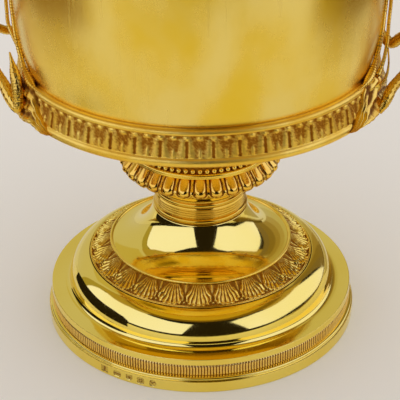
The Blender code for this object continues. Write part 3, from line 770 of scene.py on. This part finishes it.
def bowl_leaves_mesh():
    """Band of leaves between its wire and its moulding, with the marks of the chasing tool."""
    turn = even_turn(BAND_LEAVES * BAND_STEPS)
    place = (turn - math.radians(BAND_LEAF_START)) * BAND_LEAVES / math.tau
    across = (place - np.round(place)) * 2.0
    along = np.linspace(0.0, 1.0, BAND_ROWS)
    height, hollow = bowl_leaf_relief(across[:, None], along[None, :])
    rng = np.random.default_rng(11)
    chased = rng.normal(0.0, 1.0, height.shape)
    chased = chased + np.roll(chased, 1, 0) + np.roll(chased, 1, 1)
    height += chased * 0.009
    hollow += chased * 0.04
    slope = BAND_HIGH - BAND_LOW
    out = np.array([slope[1], -slope[0]]) / np.linalg.norm(slope)
    path = BAND_LOW[None, :] + slope[None, :] * along[:, None]
    radii = path[None, :, 0] + out[0] * (BAND_BED + height)
    heights = path[None, :, 1] + out[1] * (BAND_BED + height)
    wire = [(78.5, 135.7)] + arc((79.4, 133.9), (1.85, 1.75), 92.0, -20.0, 9)
    moulding = [(82.9, 124.1)] + arc((82.35, 122.0), (1.85, 2.05), 68.0, -80.0, 10)
    moulding += [(82.0, 119.9), (78.5, 119.9)]
    return chased_ring_mesh("bowl_leaves", turn, radii[:, ::-1], heights[:, ::-1],
                            hollow[:, ::-1], before=[(*point, 0.0) for point in wire],
                            after=[(*point, 0.0) for point in moulding])


# Deeper, warmer gold than the plain bowl: painted shade and warm bounce light of the chased band.
band_gilt = gilt("chased_band_gilt", bright=(1.0, 0.68, 0.09), rich=(0.94, 0.57, 0.045),
                 tone_and_shade=(0.46, 0.18, 0.008), gloss=0.34, dull=0.42, cloud_fineness=90.0, reach=0.85,
                 scratch=0.05, grain=0.00001, grain_fineness=1800.0)
bowl_leaves = new_piece("bowl_leaves", bowl_leaves_mesh(), band_gilt)
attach(bowl_leaves, "root")
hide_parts("bowl_leaf_band")


# ---------------------------------------------------------------- handles
# Two silver handles cast from one pattern, gilt and soldered to the band, one turned half round from
# the other and each bent a little to fit. Two scaly arms fork from the band and wind round each other
# to the lip, two beaded tendrils climb the wall between them, and a leaf is draped over the band.

STRAND = 5.0
STRAND_SIDES = 32
STRAND_STEP = 0.39
SCALE_PITCH = 1.25
SCALE_WIDTH = 1.55
SCALE_DEPTH = 0.62
BEAD_PITCH = 1.5

# Courses of the strands, in mm: (x, z) along the middle of the wound shaft, and (x, y, z, thickness)
# along each arm. The left handle's are given as they lie before it is turned half round.
SHAFT = [(111.5, 151.0), (117.3, 161.0), (119.6, 175.0), (118.2, 191.0), (112.5, 206.0),
         (103.5, 218.0), (93.5, 225.5)]
SHAFT_TURNS = 2.5
SHAFT_SPREAD = 2.5
LIP_JOINT = (86.0, 3.4, 228.6)
CURLED_END = [(80.8, 29.0, 147.5, 0.8), (79.8, 31.0, 143.8, 2.2), (79.0, 32.6, 140.6, 4.2),
              (78.3, 34.2, 137.6, 5.3), (77.6, 35.8, 133.0, 5.6), (77.6, 36.8, 127.8, 5.6),
              (78.4, 37.3, 125.3, 5.2)]
RIGHT_FRONT_ARM = [(77.0, -37.0, 121.6, 3.4), (79.5, -35.5, 124.6, 4.6), (81.3, -33.5, 127.0, 5.0),
                   (83.4, -30.0, 129.6, 5.0), (87.3, -25.5, 131.8, 5.0), (91.2, -21.5, 134.3, 5.0),
                   (98.0, -14.0, 140.5, 5.0), (104.5, -8.5, 146.5, 5.0), (111.0, -3.4, 150.0, 5.0)]
RIGHT_BACK_ARM = CURLED_END + [(83.5, 29.0, 131.0, 5.5), (88.8, 18.0, 130.0, 5.3),
                               (92.3, 13.0, 134.6, 5.2), (95.5, 9.5, 139.0, 5.2),
                               (103.0, 6.0, 146.0, 5.0), (111.0, 3.4, 150.0, 5.0)]
LEFT_FRONT_ARM = [(77.5, -40.5, 121.0, 3.4), (80.0, -39.0, 126.5, 4.6), (82.5, -35.5, 130.0, 4.6),
                  (85.8, -30.5, 132.8, 4.6), (89.2, -25.0, 134.8, 4.4), (92.0, -21.0, 137.5, 4.4),
                  (97.0, -14.5, 142.5, 4.8), (104.5, -8.0, 147.5, 5.0), (111.0, -3.4, 150.0, 5.0)]
LEFT_BACK_ARM = CURLED_END + [(81.4, 34.2, 128.6, 5.6), (83.5, 30.5, 131.3, 5.6),
                              (86.4, 26.0, 133.7, 5.4), (90.0, 22.0, 137.2, 5.3),
                              (97.0, 14.5, 142.5, 5.0), (104.5, 8.5, 147.5, 5.0),
                              (111.0, 3.4, 150.0, 5.0)]

# Courses of the thin tendrils: degrees round the wall from the handle, then height and radius, mm.
TENDRIL = [(-34.5, 135.1, 80.2), (-30.5, 135.8, 80.7), (-27.0, 136.6, 80.8), (-23.5, 138.2, 80.7),
           (-20.3, 140.8, 80.6), (-17.0, 145.0, 80.8), (-13.5, 150.6, 81.2), (-9.4, 156.0, 81.3),
           (-6.0, 161.0, 81.7), (-3.6, 166.0, 81.9), (-2.0, 172.0, 82.2), (-1.5, 184.0, 82.8),
           (-1.3, 203.0, 83.8), (-1.2, 222.0, 84.9)]
COMPANION = [(-22.5, 136.6, 82.9), (-20.8, 139.6, 83.7), (-19.1, 144.0, 84.3),
             (-16.4, 149.1, 84.3), (-10.6, 154.0, 83.7), (-6.6, 159.5, 84.0), (-3.4, 165.0, 84.4),
             (-1.0, 172.0, 84.9), (0.6, 184.0, 85.9), (-0.8, 203.0, 86.9), (0.6, 222.0, 87.4)]
SHORT_COMPANION = [(-16.2, 147.0, 81.2)] + COMPANION[4:]
TENDRIL_ROOT = 137.2

# Course of a thin stay from the wall down behind the front arm: (x, y, z, thickness), mm.
STAY = [(81.0, -26.6, 147.0, 0.7), (81.6, -27.2, 140.0, 0.9), (80.4, -29.6, 134.4, 1.3),
        (76.6, -32.0, 129.4, 1.3)]

DRAPED_REACH = 43.0   # degrees to either side of the handle
DRAPED_STEPS = 200
DRAPED_ROWS = 40

# Height and radius, in mm, of the band and body that the draped leaf lies on.
LEAF_BED = [(118.0, 80.6), (119.6, 82.6), (120.6, 83.8), (122.0, 84.2), (124.2, 83.4),
            (125.5, 82.4), (133.0, 81.2), (134.5, 81.3), (136.0, 80.4), (137.0, 79.4),
            (140.0, 79.0)]


def smooth_path(points, step):
    """Smooth curve through the given (x, y, z, thickness) points, mm, with a point every step."""
    rows = np.array(points, float)
    rows = np.vstack([2.0 * rows[0] - rows[1], rows, 2.0 * rows[-1] - rows[-2]])
    path = []
    for a, b, c, d in zip(rows, rows[1:], rows[2:], rows[3:]):
        count = max(2, round(np.linalg.norm(c[:3] - b[:3]) / step))
        t = np.linspace(0.0, 1.0, count, endpoint=False)[:, None]
        path.append(0.5 * (2.0 * b + (c - a) * t + (2.0 * a - 5.0 * b + 4.0 * c - d) * t ** 2
                           + (3.0 * b - a - 3.0 * c + d) * t ** 3))
    path.append(rows[-2:-1])
    return np.vstack(path)


def scales(around, along, girth):
    """Height 0..1 of round-ended scales on a strand of that girth, mm.

    Each row lies half a scale round from the last one, whose tips reach out over its roots.
    """
    total = max(6, round(girth / SCALE_WIDTH))
    rows = along / SCALE_PITCH
    height = np.zeros(np.broadcast(around, along).shape)
    for back in (0, 1):
        row = np.floor(rows) - back
        u = around / math.tau * total + 0.5 * (row % 2.0)
        u = (u - np.floor(u) - 0.5) * 2.0
        v = rows - row
        tip = 1.0 + 0.85 * np.sqrt(np.clip(1.0 - u ** 2, 0.0, 1.0))
        dome = (0.35 + 0.65 * v / 1.85) * np.sqrt(np.clip(1.0 - 0.8 * u ** 2, 0.0, 1.0))
        height = np.where(v < tip, np.maximum(height, dome), height)
    return height


def beads(around, along, girth):
    """A row of small beads strung close together, the same round a strand of any girth."""
    part = (along / BEAD_PITCH) % 1.0 * 2.0 - 1.0
    return np.sqrt(np.clip(1.0 - part ** 2, 0.0, 1.0)) + 0.0 * around


def skin(rings, hollow):
    """Points, faces and hollows of a closed tube through rings of points, with blunt ends."""
    count, sides = rings.shape[:2]
    verts = np.concatenate([rings.reshape(-1, 3), rings[[0, -1]].mean(1)])
    i = np.arange(count - 1)[:, None] * sides
    j = np.arange(sides)[None, :]
    beside = (j + 1) % sides
    walls = np.stack([i + j, i + beside, i + sides + beside, i + sides + j], -1)
    faces = walls.reshape(-1, 4).tolist()
    last = (count - 1) * sides
    faces += [[(k + 1) % sides, k, count * sides] for k in range(sides)]
    faces += [[last + k, last + (k + 1) % sides, count * sides + 1] for k in range(sides)]
    return verts, faces, np.concatenate([hollow.ravel(), [0.5, 0.5]])


def rod(path, sides, surface, relief):
    """Closed rod along a path, with a relief, mm, on its surface."""
    points, thick = path[:, :3], path[:, 3]
    tangent = np.gradient(points, axis=0)
    tangent /= np.linalg.norm(tangent, axis=1)[:, None]
    normal = np.zeros_like(points)
    lead = np.array([0.0, 1.0, 0.3])
    for i, direction in enumerate(tangent):
        lead = lead - direction * (lead @ direction)
        lead /= np.linalg.norm(lead)
        normal[i] = lead
    side = np.cross(tangent, normal)
    travelled = np.concatenate([[0.0], np.cumsum(np.linalg.norm(np.diff(points, axis=0), axis=1))])
    around = np.arange(sides) / sides * math.tau
    height = surface(around[None, :], travelled[:, None], math.pi * thick.mean())
    size = np.clip(thick / thick.max(), 0.3, 1.0)[:, None]
    reach = (thick[:, None] / 2.0 + (height - 1.0) * relief * size)[..., None]
    rings = points[:, None, :] + reach * (np.cos(around)[None, :, None] * normal[:, None, :]
                                          + np.sin(around)[None, :, None] * side[:, None, :])
    # Painted shade with brown tone: the low ground between the scales and between the beads is
    # darkened, their tops kept bright.
    return skin(rings, 1.0 - height)


def wound_strand(arm, start):
    """Path of one arm and its share of the wound shaft, up to the lip."""
    centre = smooth_path([(x, 0.0, z, 0.0) for x, z in SHAFT], 3.0)[:, :3]
    tangent = np.gradient(centre, axis=0)
    tangent /= np.linalg.norm(tangent, axis=1)[:, None]
    straight = np.array([0.0, 1.0, 0.0])
    across = np.cross(tangent, straight)
    angle = start + math.tau * SHAFT_TURNS * np.linspace(0.0, 1.0, len(centre))
    offset = straight[None, :] * np.cos(angle)[:, None] + across * np.sin(angle)[:, None]
    wound = centre + offset * SHAFT_SPREAD
    points = [list(p) for p in arm[:-1]] + [[*p, STRAND] for p in wound]
    points.append([LIP_JOINT[0], math.copysign(LIP_JOINT[1], wound[-1][1]), LIP_JOINT[2], STRAND])
    return smooth_path(points, STRAND_STEP)


def climbing_tendril(course, side, thickness):
    """Path of one thin tendril up the wall, thickened at its root; side -1 mirrors its course."""
    points = []
    for azimuth, height, radius in course:
        turn = math.radians(azimuth * side)
        root = 1.0 + 0.8 * math.exp(-((height - TENDRIL_ROOT) / 1.8) ** 2)
        root *= 0.12 + 0.88 * smooth(height, TENDRIL_ROOT - 2.3, TENDRIL_ROOT - 0.3)
        points.append((radius * math.cos(turn), radius * math.sin(turn), height, thickness * root))
    return smooth_path(points, 0.3)


def draped_leaf():
    """Leaf that lies over the band from one arm to the other, folded lengthwise.

    It stands highest to either side of the handle, with a boss and a pit on one side and a pit on
    the other.
    """
    azimuth = np.linspace(-DRAPED_REACH, DRAPED_REACH, DRAPED_STEPS)[:, None]
    away = np.abs(azimuth)
    share = away / DRAPED_REACH
    up = np.concatenate([np.linspace(0.0, 1.0, DRAPED_ROWS), [1.0, 0.5, 0.0]])[None, :]
    low = 118.8 + 0.5 * np.cos(azimuth * 0.55) + 3.4 * share ** 4
    flank = smooth(away, 7.0, 18.0)
    high = 128.4 + 8.0 * flank - 14.0 * smooth(away, 27.0, 42.0) + 0.5 * np.cos(azimuth * 0.8)
    high += 2.6 * np.exp(-((away - 22.0) / 4.5) ** 2)
    z = low + (high - low) * up
    bed = np.interp(z, *zip(*LEAF_BED))
    edge = np.sqrt(np.clip(1.0 - (2.0 * up - 1.0) ** 10, 0.0, 1.0)) * np.sqrt(1.0 - share ** 6)
    fold = 0.5 + 0.5 * np.cos(math.tau * (3.2 * up + 0.9 * np.sin(np.radians(azimuth) * 5.0)))
    fine = 0.5 + 0.5 * np.cos(azimuth * 2.1 + up * 9.0)
    boss = np.exp(-((azimuth + 22.5) / 2.2) ** 2 - ((z - 133.6) / 2.2) ** 2)
    pit = np.exp(-((azimuth + 29.0) / 2.0) ** 2 - ((z - 130.5) / 3.4) ** 2)
    pit += 1.2 * np.exp(-((azimuth - 24.5) / 1.8) ** 2 - ((z - 136.2) / 2.2) ** 2)
    height = edge * (0.3 + 0.7 * flank) * (0.9 + 1.5 * fold + 0.35 * fine) + 2.4 * boss - 1.6 * pit
    outside = (np.arange(up.shape[1]) < DRAPED_ROWS)[None, :]
    radius = np.where(outside, bed + 0.1 + height, bed - 1.4)
    angle = np.radians(azimuth)
    rings = np.stack([radius * np.cos(angle), radius * np.sin(angle), z], -1)
    # Painted shade with brown tone: the leaf is darkened in the troughs of its folds and most in the
    # pits, kept bright on the fold crests and the boss; the hidden underside is dark.
    hollow = np.where(outside, 0.85 - fold * 0.8 - 0.15 * fine - boss + pit, 1.0)
    return skin(rings, hollow)


def handle_mesh(name, front_arm, back_arm, turned_half):
    """All strands and the leaf of one handle in one mesh."""
    parts = [rod(wound_strand(front_arm, math.pi), STRAND_SIDES, scales, SCALE_DEPTH),
             rod(wound_strand(back_arm, 0.0), STRAND_SIDES, scales, SCALE_DEPTH),
             rod(climbing_tendril(TENDRIL, 1.0, 2.4), 12, beads, 0.35),
             rod(climbing_tendril(TENDRIL, -1.0, 2.4), 12, beads, 0.35),
             rod(climbing_tendril(COMPANION, 1.0, 1.7), 10, beads, 0.2),
             rod(climbing_tendril(SHORT_COMPANION, -1.0, 1.7), 10, beads, 0.2),
             rod(smooth_path(STAY, 0.4), 8, beads, 0.1),
             draped_leaf()]
    points, faces, hollow = [], [], []
    start = 0
    for part_points, part_faces, part_hollow in parts:
        points.append(part_points)
        hollow.append(part_hollow)
        faces += [[start + k for k in face] for face in part_faces]
        start += len(part_points)
    points = np.concatenate(points) * MM
    if turned_half:
        points = points * np.array([-1.0, -1.0, 1.0])
    return metal_mesh(name, points, faces, np.concatenate(hollow))


# Deeper, warmer gold than the foot and bowl: painted shade and warm bounce light of the cast handles.
handle_gilt = gilt("cast_handle_gilt", bright=(0.94, 0.62, 0.085), rich=(0.76, 0.42, 0.03),
                   tone_and_shade=(0.24, 0.085, 0.006), gloss=0.17, dull=0.27, cloud_fineness=80.0, reach=0.6,
                   scratch=0.04)
right_mesh = handle_mesh("right_handle", RIGHT_FRONT_ARM, RIGHT_BACK_ARM, False)
right_handle = new_piece("right_handle", right_mesh, handle_gilt)
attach(right_handle, "root")
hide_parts("handle_right")
left_mesh = handle_mesh("left_handle", LEFT_FRONT_ARM, LEFT_BACK_ARM, True)
left_handle = new_piece("left_handle", left_mesh, handle_gilt)
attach(left_handle, "root")
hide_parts("handle_left")


# ---------------------------------------------------------------- cover
# The cover lifts off. It is raised from silver like the foot and gilt: moulded edge, big round
# moulding and a hollow-curved dome, with a bezel soldered inside that centres it in the lip.

BEZEL_BOTTOM = node_bottom("cover")
COVER_TOP = node_top("cover")

cover_outline = [(0.0, COVER_TOP), (8.6, COVER_TOP), (9.5, COVER_TOP - 0.6)]
cover_outline += arc((63.0, 291.0), (53.2, 33.6), 181.0, 268.0, 28)
cover_outline += [(61.4, 258.6), (62.4, 258.9)]
cover_outline += arc((63.4, 257.9), (1.0, 1.0), 120.0, -20.0, 6)
cover_outline += arc((60.0, 243.2), (24.5, 14.4), 79.0, 2.0, 26)
cover_outline += [(84.7, 243.0), (88.6, 242.8), (89.9, 241.9), (89.9, 239.2), (89.2, 238.3),
                  (88.8, 237.8), (81.0, 237.8), (81.0, BEZEL_BOTTOM), (79.4, BEZEL_BOTTOM),
                  (79.4, 240.2)]
cover_outline += arc((60.0, 243.2), (22.9, 12.8), 4.0, 74.0, 12)
cover_outline += arc((62.0, 290.0), (54.1, 34.2), 267.0, 183.0, 16)
cover_outline += [(0.0, 289.3)]
cover_mesh = turned_mesh("lift_off_cover", eased(cover_outline), 160)
lift_off_cover = new_piece("lift_off_cover", cover_mesh, foot_gilt)
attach(lift_off_cover, "root")
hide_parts("cover")


# ---------------------------------------------------------------- finial
# A bud of eight lobes on a small turned foot, with a ball on top. It is cast in silver, gilt and
# screwed to the cover.

FINIAL_BOTTOM = node_bottom("cover_finial")
FINIAL_TOP = node_top("cover_finial")
BUD_LOBES = 8
BUD_STEPS = 16
BUD_HEIGHT = 312.0   # of the middle of the bud
BUD_GROOVE = 2.2


def bud_finial_mesh():
    """Finial spun from its outline, with grooves between the lobes of the bud."""
    outline = [(0.0, FINIAL_TOP)] + arc((0.0, 336.2), (3.8, 3.8), 80.0, -50.0, 14)
    outline += [(2.3, 332.6), (3.4, 331.4), (3.6, 330.6), (2.5, 329.8), (2.5, 328.6)]
    outline += arc((0.0, BUD_HEIGHT), (13.3, 15.0), 72.0, -72.0, 26)
    outline += [(3.7, 296.6), (3.5, 295.8), (5.2, 294.4), (5.6, 293.8), (8.8, 293.3), (9.3, 292.4),
                (9.3, 291.8), (8.9, FINIAL_BOTTOM), (0.0, FINIAL_BOTTOM)]
    section = eased(outline, 0.15)
    turn = even_turn(BUD_LOBES * BUD_STEPS)
    radii = np.repeat(section[None, :, 0], len(turn), 0)
    heights = np.repeat(section[None, :, 1], len(turn), 0)
    reach = np.clip(1.0 - ((heights - BUD_HEIGHT) / 15.2) ** 2, 0.0, 1.0) ** 0.5
    groove = 1.0 - np.abs(np.cos(BUD_LOBES / 2.0 * turn))[:, None] ** 0.5
    on_bud = (section[:, 0] > 4.2) & (section[:, 1] > 296.8) & (section[:, 1] < 329.0)
    depth = groove * reach * on_bud[None, :]
    # Painted shade with brown tone: the grooves between the lobes darken as deep as they are cut.
    return ring_mesh("bud_finial", turn, radii - BUD_GROOVE * depth, heights, depth)


bud_finial = new_piece("bud_finial", bud_finial_mesh(), knop_gilt)
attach(bud_finial, "root")
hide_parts("cover_finial")


# ---------------------------------------------------------------- studio
# A pale floor, lit by one large panel overhead and the pale air. The polished metal mirrors what
# stands round it: two tall soft boxes at left and right, the dark room between and above them, and
# warmer or darker cards behind, beside and on the floor. These show in the metal only. Some cards are
# painted shade and painted reflection: darker cards for the shaded wall at the back right and for the
# floor in the cup's shadow, and a gold card overhead for the gilt underside of the bowl.

FLOOR_RADIUS = 6.0
CARD_LEVEL = 0.04   # height, in metres, of the point that the curved cards stand round
SHEET_LEVEL = 0.0006
BOX_DISTANCE = 2.3
WALL_DISTANCE = 3.0
SOFT_LIGHT = (0.95, 1.0, 1.9)
ROOM_DARK = (0.016, 0.012, 0.008)
DARK_FLOOR = (0.13, 0.08, 0.012)
# Painted shade: cards for the shaded wall at the back right, dark at 140 degrees and paler toward
# 168, mirrored in the metal only.
FAR_RIGHT_SHADE = [(140, 149, (0.23, 0.165, 0.06)), (149, 156, (0.32, 0.24, 0.10)),
                  (156, 162, (0.40, 0.33, 0.19)), (162, 168, (0.48, 0.44, 0.33))]
CEILING_STEP = [(-125, 58), (30, 58), (60, 60), (140, 60)]


def flat_colour(name, colour, glow):
    """Plain matt colour, or the same colour as light."""
    material = bpy.data.materials.new(name)
    material.use_nodes = True
    shader = material.node_tree.nodes["Principled BSDF"]
    shader.inputs["Base Color"].default_value = (0.0, 0.0, 0.0, 1.0) if glow else (*colour, 1.0)
    shader.inputs["Roughness"].default_value = 1.0
    shader.inputs["Specular IOR Level"].default_value = 0.0
    if glow:
        shader.inputs["Emission Color"].default_value = (*colour, 1.0)
        shader.inputs["Emission Strength"].default_value = 1.0
    return material


def glowing_sheet(name, rows, colour, lights_floor=False):
    """Sheet through rows of points, metres: either lights the floor or is mirrored in the metal."""
    mesh = bpy.data.meshes.new(name)
    points = np.array(rows, float)
    count, across = points.shape[:2]
    faces = [(k, k + 1, k + across + 1, k + across)
             for k in range((count - 1) * across) if (k + 1) % across]
    mesh.from_pydata(points.reshape(-1, 3).tolist(), [], faces)
    mesh.materials.append(flat_colour(name, colour, True))
    sheet = bpy.data.objects.new(name, mesh)
    bpy.context.scene.collection.objects.link(sheet)
    sheet.visible_camera = False
    sheet.visible_shadow = False
    sheet.visible_diffuse = lights_floor
    sheet.visible_glossy = not lights_floor
    sheet.visible_transmission = False


def round_the_cup(azimuth, distance, height):
    """Point at an azimuth, in radians from the front towards the right, round the cup."""
    return (distance * math.sin(azimuth), -distance * math.cos(azimuth), height)


def studio_card(name, columns, distance, colour):
    """Part of a sphere round the cup: each column is an azimuth, low and high edge, in degrees."""
    columns = np.array(columns, float)
    azimuths = np.linspace(columns[0, 0], columns[-1, 0], 90)
    lows = np.interp(azimuths, columns[:, 0], columns[:, 1])
    highs = np.interp(azimuths, columns[:, 0], columns[:, 2])
    rows = []
    for azimuth, low, high in np.radians(np.stack([azimuths, lows, highs], -1)):
        rows.append([round_the_cup(azimuth, distance * math.cos(rise),
                                   CARD_LEVEL + distance * math.sin(rise))
                     for rise in np.linspace(low, high, 24)])
    glowing_sheet(name, rows, colour)


def standing_card(name, columns, distance, colour):
    """Card that stands on the floor: each column is an azimuth, in degrees, and a height."""
    rows = [[round_the_cup(math.radians(azimuth), distance, z) for z in (0.001, height)]
            for azimuth, height in columns]
    glowing_sheet(name, rows, colour)


def floor_sheet(name, left, right, front, back, colour):
    """Oblong lying on the floor."""
    glowing_sheet(name, [[(side, front, SHEET_LEVEL), (side, back, SHEET_LEVEL)]
                         for side in (left, right)], colour)


def floor_fan(name, first, last, near, far, level, colour):
    """Part of a ring lying on the floor, between two azimuths in degrees and two distances."""
    rows = [[round_the_cup(azimuth, distance, level) for distance in (near, far)]
            for azimuth in np.radians(np.linspace(first, last, 30))]
    glowing_sheet(name, rows, colour)


floor_mesh = bpy.data.meshes.new("floor")
bm = bmesh.new()
bmesh.ops.create_circle(bm, cap_ends=True, segments=96, radius=FLOOR_RADIUS)
bm.to_mesh(floor_mesh)
bm.free()
floor_mesh.materials.append(flat_colour("pale_floor", (0.90, 0.885, 0.86), False))
floor = bpy.data.objects.new("floor", floor_mesh)
bpy.context.scene.collection.objects.link(floor)

glowing_sheet("overhead_panel", [[(-4, -4, 3), (-4, 4, 3)], [(4, -4, 3), (4, 4, 3)]],
              (0.97, 0.93, 0.90), lights_floor=True)

studio_card("room_wall", [(-122, -3, 52), (138, -3, 52)], WALL_DISTANCE, ROOM_DARK)
studio_card("low_ceiling", [(azimuth, 52, step) for azimuth, step in CEILING_STEP],
            WALL_DISTANCE, (0.18, 0.11, 0.015))
# Painted reflection: a glowing gold card above the dark ceiling strip, which the metal mirrors in
# place of the bowl's gilt underside.
studio_card("bowl_underside_reflection", [(azimuth, step, 80) for azimuth, step in CEILING_STEP],
            WALL_DISTANCE, (0.5, 0.33, 0.03))
studio_card("left_cornice", [(-124, 38, 55), (-60, 46, 55)], 2.9, (0.40, 0.30, 0.09))
studio_card("right_cornice", [(72, 45, 52.5), (131, 40, 52.5)], 2.9, (0.40, 0.29, 0.09))
studio_card("right_back_wall", [(131, -5, 50), (140, -5, 50)], 2.8, (0.2, 0.15, 0.09))
# Painted shade: the shaded wall at the back right, in steps from dark to pale.
for first, last, colour in FAR_RIGHT_SHADE:
    studio_card("far_right_shaded_wall", [(first, -2, 46), (last, -2, 44)], 2.8, colour)
studio_card("far_left_wall", [(-166, 31, 46), (-130, 38, 60)], 2.8, (0.51, 0.44, 0.22))
studio_card("left_side_wall", [(-123, 3, 41), (-111, 5, 41)], 2.95, (0.37, 0.31, 0.10))

studio_card("left_box", [(-113, 4, 34), (-108, 4, 41), (-100, 4, 42), (-80, 4, 48),
                         (-60, 4, 49.5), (-40, 4, 46.5), (-20, 4, 43), (-15, 5, 42.5),
                         (-8, 42, 42)], BOX_DISTANCE, SOFT_LIGHT)
studio_card("right_box", [(28, 42, 42), (38, 5, 46.5), (60, 4, 49.5), (80, 6, 47), (100, 2, 46),
                          (122, -3, 44), (132, -5, 0)], BOX_DISTANCE, SOFT_LIGHT)
standing_card("left_low_card", [(-112, 0.030), (-104, 0.043), (-90, 0.052), (-78, 0.056),
                                (-65, 0.058), (-55, 0.051), (-50, 0.036)], 0.16, ROOM_DARK)

# A card on the floor lies a hair higher than one that it covers.
floor_sheet("left_dark_floor", -3.0, -0.57, -0.25, 0.40, DARK_FLOOR)
floor_sheet("left_brown_floor", -0.57, -0.40, -0.25, 0.40, (0.28, 0.165, 0.015))
floor_sheet("right_dark_floor", 0.52, 3.0, -0.20, 0.35, DARK_FLOOR)
floor_sheet("right_brown_floor", 0.39, 0.52, -0.20, 0.35, (0.24, 0.15, 0.018))
floor_sheet("front_dark_floor", -1.5, 1.5, -3.0, -0.75, (0.06, 0.05, 0.035))
# Painted shadow: the greyer fan behind the cup and the fan close on its right stand for the floor in
# the cup's shadow; the metal alone shows them.
floor_fan("shadowed_back_floor", 124.0, 236.0, 0.09, 3.0, 0.0003, (0.63, 0.60, 0.55))
floor_fan("right_far_floor", 96.0, 150.0, 0.58, 3.0, 0.0008, (0.12, 0.08, 0.015))
floor_fan("right_middle_floor", 116.0, 155.0, 0.43, 0.58, 0.0005, (0.36, 0.29, 0.16))
floor_fan("right_shade", 116.0, 150.0, 0.14, 0.30, 0.0004, (0.40, 0.34, 0.20))

world = bpy.data.worlds.new("studio_air")
bpy.context.scene.world = world
world.use_nodes = True
air = world.node_tree.nodes["Background"]
air.inputs["Color"].default_value = (0.56, 0.53, 0.48, 1.0)
air.inputs["Strength"].default_value = 1.0

# A close view from in front and above, down on the foot.
CAMERA_PLACE = (0.0, -0.5577, 0.3803)
CAMERA_TURN = math.radians(0.01)
CAMERA_TILT = math.radians(59.90)
CAMERA_ROLL = math.radians(-0.47)

camera_data = bpy.data.cameras.new("camera")
camera_data.lens = 121.15
camera_data.sensor_width = 36.0
camera_data.clip_start = 0.01
camera = bpy.data.objects.new("camera", camera_data)
bpy.context.scene.collection.objects.link(camera)
camera.matrix_world = (Matrix.Translation(CAMERA_PLACE)
                       @ Matrix.Rotation(CAMERA_TURN, 4, "Z")
                       @ Matrix.Rotation(CAMERA_TILT, 4, "X")
                       @ Matrix.Rotation(CAMERA_ROLL, 4, "Z"))
bpy.context.scene.camera = camera
bpy.context.scene.view_settings.view_transform = "Standard"
